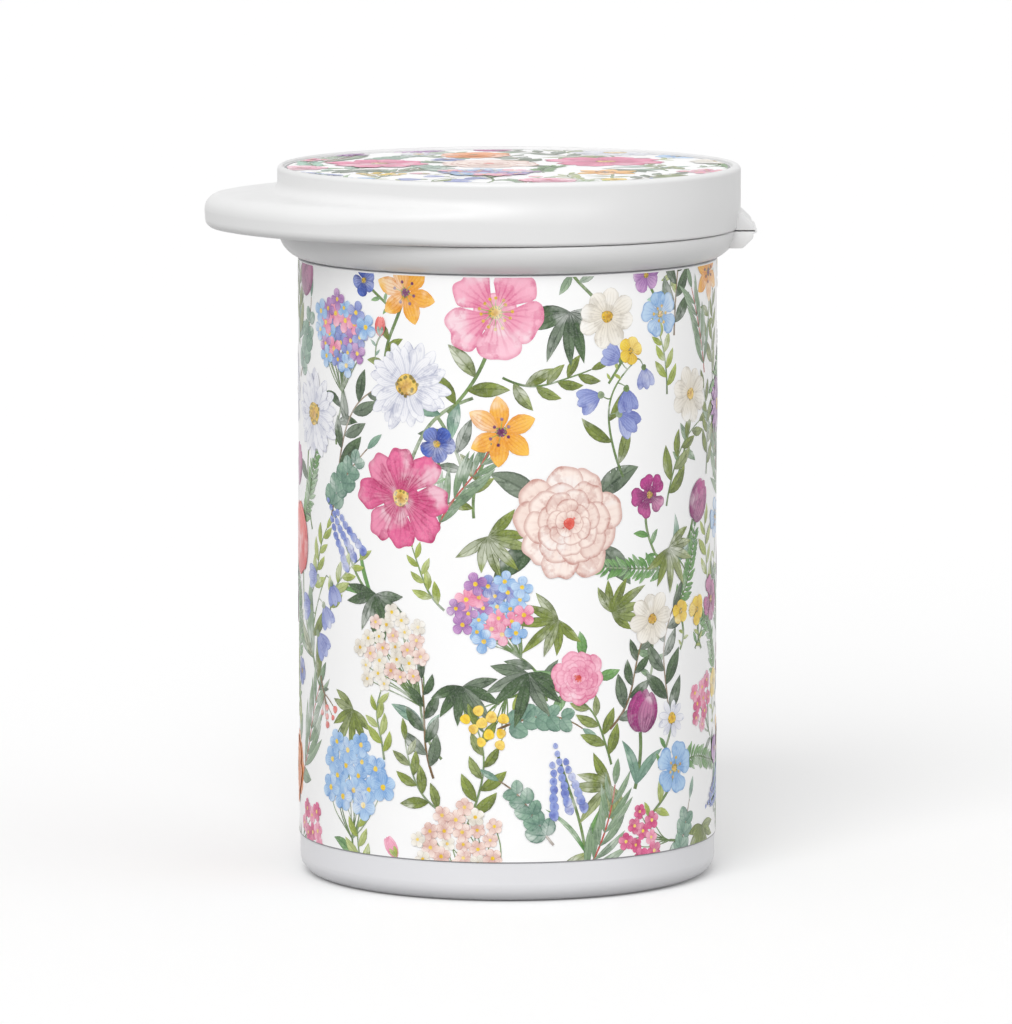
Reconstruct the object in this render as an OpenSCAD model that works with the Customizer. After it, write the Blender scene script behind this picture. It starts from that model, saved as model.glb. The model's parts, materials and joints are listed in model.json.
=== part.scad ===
// Talcum powder tub with a flip-top lid.
// A straight round tub carries a flared closure ring over its neck. The ring
// traps the sifter, and a film hinge joins it to the lid. The lid's rim is
// egg-shaped and runs out into a thumb tab. A film label wraps the tub and a
// round label fills the lid's shallow recess.
// Millimetres, +Z up. The origin is on the tub's axis, on the plane that the
// foot stands on. The thumb tab points to -X and the hinge is at +X.

/* [Tub] */
// Outside diameter of the straight body
body_d = 60; // [54:0.5:70]
// Height of the shoulder that carries the closure ring
shoulder_z = 89; // [60:0.5:120]
// Thickness of the side wall
wall_t = 1.8; // [1.5:0.1:2.2]
// Thickness of the floor
floor_t = 1.5; // [1:0.1:2.5]
// Rounding of the foot's outside edge
foot_round = 2.6; // [1.5:0.1:3]
// Rounding between the floor and the side wall, inside
heel_round = 1.5; // [0.5:0.1:2]
// Height of the hollow under the floor
foot_hollow_h = 0.9; // [0.5:0.1:1.5]
// Width of the flat ring that the tub stands on
foot_ring_w = 2.4; // [1.5:0.1:4]

/* [Neck] */
// Thickness of the neck's wall
neck_t = 1; // [0.8:0.1:1.2]
// Height of the neck above the shoulder
neck_h = 8.6; // [7.5:0.1:10]

/* [Closure ring] */
// Height of the flared collar above the shoulder
collar_h = 4.1; // [3.2:0.1:4.6]
// How far the collar stays inside the lid's outline
collar_inset = 0.6; // [0.2:0.1:1]
// Thickness of the upstand that the lid snaps over
upstand_t = 1.4; // [1:0.1:2]
// Thickness of the lip that holds the sifter down
lip_t = 1; // [0.8:0.1:1.5]
// How far the lip reaches in from the ring's bore
lip_reach = 1.65; // [1.2:0.05:2.5]
// How far the snap bead stands out from the upstand
bead_out = 0.2; // [0.1:0.05:0.3]
// Height of the snap bead
bead_h = 0.7; // [0.4:0.1:1]
// Distance from the snap bead to the upstand's top
bead_drop = 0.3; // [0.2:0.1:0.6]
// Radial fit between the ring and the neck
ring_fit = 0.05; // [0.02:0.01:0.1]

/* [Sifter] */
// Thickness of the sifter's flange
sifter_flange_t = 0.6; // [0.5:0.1:1]
// Depth of the sifter's deck below its flange
sifter_drop = 4.6; // [3:0.1:6]
// Thickness of the sifter's deck
sifter_deck_t = 1; // [0.8:0.1:1.5]
// Thickness of the sifter's side wall
sifter_wall_t = 0.8; // [0.6:0.1:1.2]
// Radial gap between the sifter's side wall and the neck
sifter_fit = 0.1; // [0.05:0.05:0.3]
// Diameter of one powder hole
hole_d = 1.6; // [1:0.1:2]
// Distance between the rings of powder holes
hole_pitch = 4.5; // [3.5:0.1:5]
// Number of rings of powder holes
hole_rings = 3; // [1:1:4]

/* [Lid] */
// Thickness of the lid's upper wall
lid_wall_t = 1.6; // [1.2:0.1:2.5]
// Thickness of the lid's panel
panel_t = 1.35; // [1:0.05:2]
// Depth of the label recess in the lid's top
recess_h = 0.5; // [0.3:0.1:1]
// Width of the thin rim around the label recess
rim_w = 1.3; // [1:0.1:2]
// Rounding of the lid's top outside edge
top_round = 1; // [0.5:0.1:1.2]
// Thickness of the egg-shaped flange at the lid's lower edge
flange_t = 4.7; // [3:0.1:5.4]
// Depth of the groove above the lid's snap edge
groove_out = 0.7; // [0.4:0.1:1]
// Height from the lid's snap edge to the bead on the ring
snap_play = 0.5; // [0.2:0.1:0.8]
// Radial clearance of the lid over the bead, beyond the swing's own need
snap_gap = 0.06; // [0.04:0.02:0.2]
// Gap between the closed lid and the collar
parting_gap = 0.2; // [0.15:0.05:0.3]

/* [Thumb tab] */
// How far the thumb tab stands out past the lid's round wall
tab_reach = 10.1; // [6:0.1:14]
// Radius of the tab's rounded tip
tab_tip_r = 21; // [16:0.5:24]
// Angle past the lid's middle at which the tab's sides leave the round wall
tab_root_angle = 15; // [5:1:25]
// Wall left around the hollow under the tab
tab_wall_t = 1.6; // [1.2:0.1:2.2]

/* [Hinge] */
// Width of the hinge
hinge_w = 12; // [8:0.5:16]
// How far the hinge line stands out from the lid's round wall
hinge_out = 1.8; // [1.5:0.1:2.4]
// Height of each hinge ear at its root
ear_root_h = 2.4; // [1.5:0.1:3]
// Height of each hinge ear at its tip
ear_tip_h = 0.9; // [0.7:0.1:1.2]
// Thickness of the film
film_t = 0.3; // [0.2:0.05:0.4]
// Gap between an ear's tip and the hinge line
ear_gap = 0.15; // [0.1:0.05:0.3]

/* [Liner and labels] */
// Thickness of the foam liner
liner_t = 1.15; // [0.8:0.05:2]
// Gap between the liner and the ring's lip
liner_gap = 0.1; // [0.05:0.05:0.2]
// Radial gap between the liner and the lid's groove
liner_fit = 0.9; // [0.3:0.1:1.5]
// Thickness of the label film
label_t = 0.1; // [0.05:0.01:0.15]
// Height of the bare band below the body label
base_band_h = 5.7; // [4:0.1:12]
// Gap between the body label and the ring
label_top_gap = 0.1; // [0.05:0.05:3]
// Gap between the round label and the lid's rim
lid_label_fit = 0.2; // [0.1:0.05:1]

/* [Hidden] */
$fn = 96;

// Room that a cut runs past a face so that it goes clean through
over = 1;

// Tub and neck radii
body_r = body_d / 2;
bore_r = body_r - wall_t;
neck_r = bore_r + neck_t;
floor_z = foot_hollow_h + floor_t;
neck_z = shoulder_z + neck_h;

// Closure ring
ring_bore_r = neck_r + ring_fit;
upstand_r = ring_bore_r + upstand_t;
bead_r = upstand_r + bead_out;
deck_z = shoulder_z + collar_h;
sifter_top_z = neck_z + sifter_flange_t;
lip_z = sifter_top_z + lip_t;
lip_r = ring_bore_r - lip_reach;
bead_top_z = lip_z - bead_drop;
bead_foot_z = bead_top_z - bead_h;

// Lid. Its snap edge clears the bead while the lid turns on the hinge line:
// over the ring's height the edge moves inward by height squared over twice
// the distance to the hinge line, which is more than the body's diameter.
lid_foot_z = deck_z + parting_gap;
swing_room = pow(lip_z - lid_foot_z, 2) / (2 * body_d);
snap_edge_r = bead_r + swing_room + snap_gap;
groove_r = snap_edge_r + groove_out;
lid_r = groove_r + lid_wall_t;
snap_edge_z = bead_foot_z - snap_play;
liner_z = lip_z + liner_gap;
panel_z = liner_z + liner_t;
recess_z = panel_z + panel_t;
lid_top_z = recess_z + recess_h;
recess_r = lid_r - rim_w;
flange_z = lid_foot_z + flange_t;

// Collar
collar_r = lid_r - collar_inset;

// Sifter
sifter_r = bore_r - sifter_fit;
sifter_deck_z = neck_z - sifter_drop;

// Thumb tab outline: a tip arc and two side arcs that are tangent to the
// lid's circle and to the tip arc
tip_x = lid_r + tab_reach - tab_tip_r;
tab_lean = sin(tab_root_angle);
side_shift = (pow(tip_x, 2) - pow(lid_r - tab_tip_r, 2)) / (2 * (lid_r - tab_tip_r + tip_x * tab_lean));
side_r = lid_r + side_shift;

// Hinge line
hinge_x = lid_r + hinge_out;
hinge_z = deck_z + parting_gap / 2;
ear_tip_x = hinge_x - ear_gap;
ear_root_x = sqrt(pow(body_r, 2) - pow(hinge_w / 2, 2));

// Labels
body_label_top_z = shoulder_z - label_top_gap;

// Area outside a rounding of radius r in the square corner at the origin
// that opens to +X and +Y
module corner_waste(r) {
    difference() {
        square(r);
        translate([r, r]) circle(r);
    }
}

// Half profile of the tub's outside, up to the shoulder
module tub_outside() {
    difference() {
        square([body_r, shoulder_z]);
        translate([body_r, 0]) mirror([1, 0]) corner_waste(foot_round);
    }
}

// Half profile of the powder space, out through the neck
module tub_inside() {
    difference() {
        translate([0, floor_z]) square([bore_r, neck_z - floor_z + over]);
        translate([bore_r, floor_z]) mirror([1, 0]) corner_waste(heel_round);
    }
}

module tub() {
    foot_hollow_r = body_r - foot_round - foot_ring_w;
    color("white") rotate_extrude() difference() {
        union() {
            tub_outside();
            square([neck_r, neck_z]);
        }
        tub_inside();
        translate([0, -over]) square([foot_hollow_r, foot_hollow_h + over]);
    }
}

// Half profile of the collar: a quarter round under a flat deck, cut off at
// the shoulder
module collar_profile() {
    intersection() {
        translate([collar_r - collar_h, deck_z]) circle(collar_h);
        translate([0, shoulder_z]) square([lid_r, collar_h]);
    }
    translate([0, shoulder_z]) square([body_r, collar_h]);
}

module ring_profile() {
    difference() {
        union() {
            collar_profile();
            translate([0, shoulder_z]) square([upstand_r, lip_z - shoulder_z]);
            translate([0, bead_foot_z]) square([bead_r, bead_h]);
        }
        translate([0, shoulder_z - over]) square([ring_bore_r, sifter_top_z - shoulder_z + over]);
        translate([0, shoulder_z]) square([lip_r, lip_z - shoulder_z + over]);
    }
}

// One hinge ear: a wedge that stands on its parting face and runs from inside
// the wall out to its tip
module hinge_ear() {
    translate([0, hinge_w / 2, 0]) rotate([90, 0, 0]) linear_extrude(hinge_w) polygon([
        [ear_root_x, 0],
        [ear_tip_x, 0],
        [ear_tip_x, ear_tip_h],
        [lid_r, ear_root_h],
        [ear_root_x, ear_root_h]
    ]);
}

module closure_ring() {
    color("whitesmoke") {
        rotate_extrude() ring_profile();
        translate([0, 0, deck_z]) mirror([0, 0, 1]) hinge_ear();
    }
}

module sifter_hole_ring(ring) {
    count = 6 * ring;
    for (i = [0 : count - 1]) rotate(i * 360 / count) translate([ring * hole_pitch, 0, 0]) sifter_hole();
}

module sifter_hole() {
    translate([0, 0, sifter_deck_z - over]) cylinder(d = hole_d, h = sifter_deck_t + 2 * over, $fn = 24);
}

module sifter() {
    color("whitesmoke") difference() {
        union() {
            translate([0, 0, neck_z]) cylinder(r = neck_r, h = sifter_flange_t);
            translate([0, 0, sifter_deck_z]) cylinder(r = sifter_r, h = sifter_drop);
        }
        translate([0, 0, sifter_deck_z + sifter_deck_t]) cylinder(
            r = sifter_r - sifter_wall_t,
            h = sifter_drop + sifter_flange_t + over
        );
        sifter_hole();
        for (ring = [1 : hole_rings]) sifter_hole_ring(ring);
    }
}

// The film: a half tube around the hinge line with a short tail to each ear
module film_hinge() {
    inner_r = parting_gap / 2;
    outer_r = inner_r + film_t;
    color("white") translate([hinge_x, hinge_w / 2, hinge_z]) rotate([90, 0, 0]) linear_extrude(hinge_w) {
        difference() {
            circle(outer_r);
            circle(inner_r);
            translate([-2 * outer_r, -outer_r]) square([2 * outer_r, 2 * outer_r]);
        }
        translate([-ear_gap, inner_r]) square([ear_gap, film_t]);
        translate([-ear_gap, -outer_r]) square([ear_gap, film_t]);
    }
}

// Directions from a side arc's centre to its two ends, and one side of the tab
module tab_side() {
    centre = [-side_shift * tab_lean, side_shift * cos(tab_root_angle)];
    to_lid = [tab_lean, -cos(tab_root_angle)];
    to_tip = ([-tip_x, 0] - centre) / (side_r - tab_tip_r);
    translate(centre) intersection() {
        circle(side_r);
        polygon([[0, 0], 2 * side_r * to_lid, 2 * side_r * to_tip]);
    }
}

// Egg-shaped outline of the lid's flange
module egg_outline() {
    circle(lid_r);
    translate([-tip_x, 0]) circle(tab_tip_r);
    tab_side();
    mirror([0, 1]) tab_side();
}

// Hollow under the thumb tab: a crescent outside the lid's round wall
module tab_hollow() {
    difference() {
        translate([-tip_x, 0]) circle(tab_tip_r - tab_wall_t);
        circle(lid_r);
    }
}

// Half profile of the space inside the lid
module lid_inside() {
    translate([0, lid_foot_z - over]) square([snap_edge_r, snap_edge_z - lid_foot_z + over]);
    translate([0, snap_edge_z]) square([groove_r, panel_z - snap_edge_z]);
    translate([0, recess_z]) square([recess_r, recess_h + over]);
}

module lid_outside() {
    difference() {
        translate([0, lid_foot_z]) square([lid_r, lid_top_z - lid_foot_z]);
        translate([lid_r, lid_top_z]) mirror([1, 0]) mirror([0, 1]) corner_waste(top_round);
    }
}

module lid() {
    color("white") difference() {
        union() {
            rotate_extrude() lid_outside();
            translate([0, 0, lid_foot_z]) linear_extrude(flange_t) egg_outline();
            translate([0, 0, lid_foot_z]) hinge_ear();
        }
        rotate_extrude() lid_inside();
        translate([0, 0, lid_foot_z - over]) linear_extrude(flange_t - tab_wall_t + over) tab_hollow();
    }
}

module lid_liner() {
    color("ghostwhite") translate([0, 0, liner_z]) cylinder(r = groove_r - liner_fit, h = liner_t);
}

module body_label() {
    color("lavenderblush") translate([0, 0, base_band_h]) difference() {
        cylinder(r = body_r + label_t, h = body_label_top_z - base_band_h);
        translate([0, 0, -over]) cylinder(r = body_r, h = body_label_top_z - base_band_h + 2 * over);
    }
}

module lid_label() {
    color("lavenderblush") translate([0, 0, recess_z]) cylinder(r = recess_r - lid_label_fit, h = label_t);
}

tub();
closure_ring();
sifter();
film_hinge();
lid();
lid_liner();
body_label();
lid_label();
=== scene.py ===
"""A talcum powder tub with a flip-top lid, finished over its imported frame.

Places and main sizes come from the frame's nodes. Each class builds one
sub-assembly and dresses it. Lengths are metres, +Z is up, the thumb tab points
to -X and the film hinge is at +X.
"""
import json
import logging
import math
import random
from collections.abc import Callable, Sequence
from dataclasses import dataclass, field
from enum import Enum

import bmesh
import bpy
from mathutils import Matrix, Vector


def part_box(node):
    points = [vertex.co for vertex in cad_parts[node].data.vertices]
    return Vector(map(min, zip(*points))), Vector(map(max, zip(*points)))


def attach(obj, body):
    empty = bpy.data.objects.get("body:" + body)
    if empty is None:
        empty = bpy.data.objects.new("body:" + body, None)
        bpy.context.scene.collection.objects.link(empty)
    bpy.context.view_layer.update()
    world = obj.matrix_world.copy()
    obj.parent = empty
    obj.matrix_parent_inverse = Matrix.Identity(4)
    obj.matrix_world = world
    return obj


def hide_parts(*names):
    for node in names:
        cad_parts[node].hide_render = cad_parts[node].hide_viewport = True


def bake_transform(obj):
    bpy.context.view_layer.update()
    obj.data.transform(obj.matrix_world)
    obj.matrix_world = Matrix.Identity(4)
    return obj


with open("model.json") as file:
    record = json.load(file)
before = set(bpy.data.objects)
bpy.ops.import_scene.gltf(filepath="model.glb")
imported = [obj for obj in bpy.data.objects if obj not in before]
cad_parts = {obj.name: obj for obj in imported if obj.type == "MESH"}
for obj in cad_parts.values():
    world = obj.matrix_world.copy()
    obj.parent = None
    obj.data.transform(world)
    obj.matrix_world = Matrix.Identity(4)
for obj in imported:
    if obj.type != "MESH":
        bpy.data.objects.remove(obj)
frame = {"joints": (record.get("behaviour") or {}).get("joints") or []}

LOG = logging.getLogger("talc_tub")
MM = 0.001
TURN = 2 * math.pi
GOLDEN_ANGLE = 2.399963
WALL_SEGMENTS = 200
TINY = 1e-7
MERGE_DISTANCE = 2e-7
SLIVER = 1e-8
CUT_DISTANCE = 1e-5
STRAIGHT = 1e-3
COLLAR_INSET = 0.6 * MM
HINGE_WIDTH = 12.0 * MM

BMesh = bmesh.types.BMesh
Material = bpy.types.Material
Socket = bpy.types.NodeSocket
Colour = tuple[float, float, float, float]
Point = tuple[float, float]
Shape = Callable[[float, float], Point]


def srgb(red: int, green: int, blue: int) -> Colour:
    """Turn a screen colour into the linear colour that shaders use.

    Args:
        red: Red, 0 to 255.
        green: Green, 0 to 255.
        blue: Blue, 0 to 255.

    Returns:
        The linear colour with full alpha.
    """
    def linear(value: int) -> float:
        """Undo the screen curve of one channel."""
        share = value / 255
        return share / 12.92 if share <= 0.04045 else ((share + 0.055) / 1.055) ** 2.4

    return (linear(red), linear(green), linear(blue), 1.0)


def mixed(first: Colour, second: Colour, share: float) -> Colour:
    """Mix two colours channel by channel; share 0 gives the first."""
    return tuple(a + (b - a) * share for a, b in zip(first, second))


# ---- mesh tools


@dataclass(frozen=True)
class Corner:
    """One corner of a half profile and the radius that rounds it, if any."""

    r: float
    z: float
    radius: float | None = None


def rounding(before: Point, here: Point, after: Point, reach: float) -> float:
    """Return the radius of the rounding that starts a set distance before its corner."""
    ahead, onward = Vector(here) - Vector(before), Vector(after) - Vector(here)
    return reach / max(math.tan(ahead.angle(onward) / 2), 0.01)


def rounded_path(corners: Sequence[Corner], closed: bool = True, steps: int = 6,
                 hold: float = 0.06 * MM, most: float = 0.3) -> list[Vector]:
    """Round a polyline's corners and hold its straight runs flat.

    Args:
        corners: The polyline's corners in order.
        closed: Whether the last corner joins the first.
        steps: Faces in each rounding.
        hold: Distance from a rounding to the extra point that keeps the
            straight run's shading flat.
        most: That distance at most, as a share of the run.

    Returns:
        The points, as (r, z), always as many for as many corners.
    """
    count = len(corners)
    places = [Vector((c.r, c.z)) for c in corners]
    runs: list[list[Vector]] = []
    for index, corner in enumerate(corners):
        here = places[index]
        ahead = places[(index + 1) % count] - here
        back = places[index - 1] - here
        at_end = not closed and index in (0, count - 1)
        if corner.radius is None or at_end:
            runs.append([here])
            continue
        if corner.radius < TINY or min(ahead.length, back.length) < TINY:
            runs.append([here] * (steps + 1))
            continue
        ahead.normalize()
        back.normalize()
        half = max(back.angle(ahead) / 2, 0.01)
        centre = here + (back + ahead).normalized() * corner.radius / math.sin(half)
        first = here + back * corner.radius / math.tan(half) - centre
        last = here + ahead * corner.radius / math.tan(half) - centre
        begin = math.atan2(first.y, first.x)
        sweep = (math.atan2(last.y, last.x) - begin + math.pi) % TURN - math.pi
        runs.append([
            centre + corner.radius * Vector((math.cos(a), math.sin(a)))
            for a in (begin + sweep * step / steps for step in range(steps + 1))
        ])
    points: list[Vector] = []
    for index, run in enumerate(runs):
        points.extend(run)
        if closed or index < count - 1:
            begin, end = run[-1], runs[(index + 1) % count][0]
            gap = end - begin
            inset = min(hold / max(gap.length, TINY), most)
            points += [begin + gap * inset, end - gap * inset]
    return points


def clean(bm: BMesh) -> None:
    """Merge doubles and turn the faces outwards.

    Args:
        bm: The mesh.
    """
    bmesh.ops.remove_doubles(bm, verts=bm.verts, dist=MERGE_DISTANCE)
    bmesh.ops.dissolve_degenerate(bm, edges=bm.edges, dist=SLIVER)
    bmesh.ops.recalc_face_normals(bm, faces=bm.faces)


def spun(path: Sequence[Vector], closed: bool = True) -> BMesh:
    """Spin a half profile round the Z axis.

    Args:
        path: The profile's points as (r, z).
        closed: Whether the profile's last point joins its first.

    Returns:
        A closed bmesh.
    """
    bm = bmesh.new()
    verts = [bm.verts.new((p.x, 0.0, p.y)) for p in path]
    follow = verts[1:] + verts[:1] if closed else verts[1:]
    edges = [bm.edges.new(pair) for pair in zip(verts, follow)]
    bmesh.ops.spin(bm, geom=verts + edges, cent=(0, 0, 0), axis=(0, 0, 1), dvec=(0, 0, 0),
                   angle=TURN, steps=WALL_SEGMENTS, use_merge=True)
    clean(bm)
    return bm


def surface(columns: int, rows: int, place: Callable[[float, float], Vector]) -> BMesh:
    """Lay a grid over a surface given by a formula.

    Args:
        columns: Faces in the first direction.
        rows: Faces in the second direction.
        place: Gives the point for two shares from 0 to 1.

    Returns:
        The bmesh, with its edges that meet merged.
    """
    bm = bmesh.new()
    bmesh.ops.create_grid(bm, x_segments=columns, y_segments=rows, size=0.5)
    for vert in bm.verts:
        vert.co = place(vert.co.x + 0.5, vert.co.y + 0.5)
    clean(bm)
    return bm


def prism(outline: Sequence[Vector], low: float, high: float, bevel: float) -> BMesh:
    """Raise an outline in the XZ plane along Y and soften its edges.

    Args:
        outline: The outline's points as (x, z).
        low: Lowest y.
        high: Highest y.
        bevel: Width of the softened edges, or 0 for none.

    Returns:
        A closed bmesh.
    """
    bm = bmesh.new()
    base = bm.faces.new([bm.verts.new((p.x, low, p.y)) for p in outline])
    raised = bmesh.ops.extrude_face_region(bm, geom=[base])
    moved = [item for item in raised["geom"] if isinstance(item, bmesh.types.BMVert)]
    bmesh.ops.translate(bm, vec=(0, high - low, 0), verts=moved)
    bmesh.ops.recalc_face_normals(bm, faces=bm.faces)
    if bevel > 0:
        ends = [e for e in bm.edges if abs(e.verts[0].co.y - e.verts[1].co.y) < TINY]
        bmesh.ops.bevel(bm, geom=ends, offset=bevel, segments=3, profile=0.5,
                        affect="EDGES", material=-1, clamp_overlap=True)
    return bm


def joined(target: BMesh, extra: BMesh) -> None:
    """Add one mesh's shells to another.

    Args:
        target: The mesh that takes them.
        extra: The mesh that gives them, which is freed.
    """
    mesh = bpy.data.meshes.new("joined")
    extra.to_mesh(mesh)
    extra.free()
    target.from_mesh(mesh)
    bpy.data.meshes.remove(mesh)


def piece(name: str, bm: BMesh, skins: Sequence[Material],
          body: str | None, replaces: Sequence[str] = (), sharp: float = 32.0) -> bpy.types.Object:
    """Make an object of a finished bmesh, put it on its body and hide the CAD nodes it stands for.

    Args:
        name: The piece's name.
        bm: Its mesh, which is freed.
        skins: Its materials in slot order.
        body: The body that it rides on, or None for a piece that rides on neither.
        replaces: The CAD nodes that it stands for.
        sharp: Angle in degrees above which an edge stays sharp.

    Returns:
        The object.
    """
    limit = math.radians(sharp)
    for face in bm.faces:
        face.smooth = True
    for edge in bm.edges:
        edge.smooth = len(edge.link_faces) != 2 or edge.calc_face_angle(0.0) < limit
    mesh = bpy.data.meshes.new(name)
    bm.to_mesh(mesh)
    bm.free()
    made = bpy.data.objects.new(name, mesh)
    bpy.context.scene.collection.objects.link(made)
    for skin in skins:
        mesh.materials.append(skin)
    if body is not None:
        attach(made, body)
    if replaces:
        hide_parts(*replaces)
    LOG.info("%s: %d faces", name, len(mesh.polygons))
    return made


# ---- shader tools


class Grain(Enum):
    """The finishes' noises: scale in waves a metre, octaves and roughness."""

    CLOUD = (55, 3, 0.5)
    MOULDING = (5200, 2, 0.6)
    FLOW = (260, 2, 0.5)
    DUST = (1500, 2, 0.7)
    DUST_FIELD = (120, 2, 0.5)
    RIPPLE = (90, 2, 0.5)
    FILM = (3000, 2, 0.6)
    HANDLING = (320, 3, 0.65)
    PAPER_TONE = (70, 2, 0.5)
    POOL = (480, 4, 0.6)
    PATCH = (190, 3, 0.55)
    SPECKLE = (3600, 2, 0.6)
    WAVER = (900, 2, 0.5)
    MOTTLE = (1600, 2, 0.5)
    GROUND = (6, 3, 0.5)


class Graph:
    """A short hand for building one node tree."""

    # A Mix node's colour sockets share their names with others and go by number.
    mix_inputs = (6, 7)
    mix_output = 2

    def __init__(self, tree: bpy.types.NodeTree) -> None:
        """Start on a tree."""
        self.tree = tree

    def node(self, kind: str, **settings: object) -> bpy.types.Node:
        """Add a node and set its properties.

        Args:
            kind: The node's type.
            settings: Its properties.

        Returns:
            The node.
        """
        made = self.tree.nodes.new(kind)
        for name, value in settings.items():
            setattr(made, name, value)
        return made

    def feed(self, socket: Socket, value: object) -> None:
        """Link an input, or set its value.

        Args:
            socket: The input.
            value: Another node's output, or a plain value.
        """
        if isinstance(value, Socket):
            self.tree.links.new(value, socket)
        else:
            socket.default_value = value

    def math(self, operation: str, first: object, second: object = 0.0, clamp: bool = False) -> Socket:
        """Add a Math node.

        Args:
            operation: What it does.
            first: Its first value.
            second: Its second value.
            clamp: Whether the result is held from 0 to 1.

        Returns:
            The result.
        """
        made = self.node("ShaderNodeMath", operation=operation, use_clamp=clamp)
        self.feed(made.inputs[0], first)
        self.feed(made.inputs[1], second)
        return made.outputs[0]

    def ramp(self, value: object, low: float, high: float, to_low: float = 0.0,
             to_high: float = 1.0) -> Socket:
        """Map a value smoothly from one range to another, and hold it at the ends.

        Args:
            value: The value.
            low: Start of the first range.
            high: End of the first range.
            to_low: Start of the second range.
            to_high: End of the second range.

        Returns:
            The mapped value.
        """
        made = self.node("ShaderNodeMapRange", interpolation_type="SMOOTHSTEP")
        for index, number in enumerate((value, low, high, to_low, to_high)):
            self.feed(made.inputs[index], number)
        return made.outputs["Result"]

    def mix(self, share: object, first: object, second: object) -> Socket:
        """Mix two colours.

        Args:
            share: The second colour's share.
            first: The first colour.
            second: The second colour.

        Returns:
            The mixed colour.
        """
        made = self.node("ShaderNodeMix", data_type="RGBA", blend_type="MIX", clamp_factor=True)
        self.feed(made.inputs["Factor"], share)
        for index, colour in zip(self.mix_inputs, (first, second)):
            self.feed(made.inputs[index], colour)
        return made.outputs[self.mix_output]

    def noise(self, place: Socket, grain: Grain) -> Socket:
        """Add a noise.

        Args:
            place: Where it is read.
            grain: Which of the noises.

        Returns:
            Its value.
        """
        made = self.node("ShaderNodeTexNoise")
        self.feed(made.inputs["Vector"], place)
        for name, value in zip(("Scale", "Detail", "Roughness"), grain.value):
            made.inputs[name].default_value = value
        return made.outputs["Fac"]

    def spot(self) -> Socket:
        """Return the object's own coordinates."""
        return self.node("ShaderNodeTexCoord").outputs["Object"]


OpenGroup = tuple[bpy.types.NodeTree, Graph, bpy.types.Node, bpy.types.Node]


def node_group(name: str, inputs: Sequence[tuple[str, str, object]],
               outputs: Sequence[tuple[str, str]]) -> OpenGroup:
    """Start a shader node group.

    Args:
        name: The group's name.
        inputs: Name, short socket kind and default of each input.
        outputs: Name and short socket kind of each output.

    Returns:
        The tree, its graph, its input node and its output node.
    """
    tree = bpy.data.node_groups.new(name, "ShaderNodeTree")
    for label, kind, default in inputs:
        socket = tree.interface.new_socket(name=label, in_out="INPUT", socket_type=f"NodeSocket{kind}")
        socket.default_value = default
    for label, kind in outputs:
        tree.interface.new_socket(name=label, in_out="OUTPUT", socket_type=f"NodeSocket{kind}")
    graph = Graph(tree)
    return tree, graph, graph.node("NodeGroupInput"), graph.node("NodeGroupOutput")


def moulding_group() -> bpy.types.NodeTree:
    """Build the group for moulded plastic: cloudy shade, fine grain, flow and dust.

    Returns:
        The group.
    """
    tree, graph, given, made = node_group(
        "moulded_skin",
        [("Colour", "Color", (0.8, 0.8, 0.8, 1)), ("Dust", "Color", (0.7, 0.7, 0.7, 1)),
         ("Roughness", "Float", 0.35)],
        [("Colour", "Color"), ("Roughness", "Float"), ("Height", "Float")],
    )
    dust_shade, dust_rough, grain_height, flow_height = 0.35, 0.25, 0.3, 0.7
    place = graph.spot()
    cloud = graph.ramp(graph.noise(place, Grain.CLOUD), 0.35, 0.7, 0.0, 0.10)
    grain = graph.noise(place, Grain.MOULDING)
    waves = graph.noise(place, Grain.FLOW)
    speck = graph.ramp(graph.noise(place, Grain.DUST), 0.69, 0.78)
    field_mask = graph.ramp(graph.noise(place, Grain.DUST_FIELD), 0.45, 0.7)
    settled = graph.math("MULTIPLY", speck, field_mask, True)
    shade = graph.mix(cloud, given.outputs["Colour"], given.outputs["Dust"])
    shade = graph.mix(graph.math("MULTIPLY", settled, dust_shade), shade, given.outputs["Dust"])
    graph.feed(made.inputs["Colour"], shade)
    rough = graph.math("ADD", given.outputs["Roughness"], graph.ramp(waves, 0.3, 0.7, -0.035, 0.045))
    rough = graph.math("ADD", rough, graph.math("MULTIPLY", settled, dust_rough), True)
    graph.feed(made.inputs["Roughness"], rough)
    fine = graph.math("MULTIPLY", grain, grain_height)
    flow = graph.math("MULTIPLY", waves, flow_height)
    graph.feed(made.inputs["Height"], graph.math("ADD", fine, flow))
    return tree


def film_group() -> bpy.types.NodeTree:
    """Build the group for label film: faint ripples, handling marks and print sheen.

    Returns:
        The group.
    """
    tree, graph, given, made = node_group(
        "label_film_skin", [("Roughness", "Float", 0.3)], [("Roughness", "Float"), ("Height", "Float")])
    grain_height = 0.05
    place = graph.spot()
    ripple = graph.noise(place, Grain.RIPPLE)
    grain = graph.noise(place, Grain.FILM)
    rubbed = graph.ramp(graph.noise(place, Grain.HANDLING), 0.5, 0.75, 0.0, 0.09)
    graph.feed(made.inputs["Roughness"], graph.math("ADD", given.outputs["Roughness"], rubbed, True))
    fine = graph.math("MULTIPLY", grain, grain_height)
    graph.feed(made.inputs["Height"], graph.math("ADD", ripple, fine))
    return tree


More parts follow.
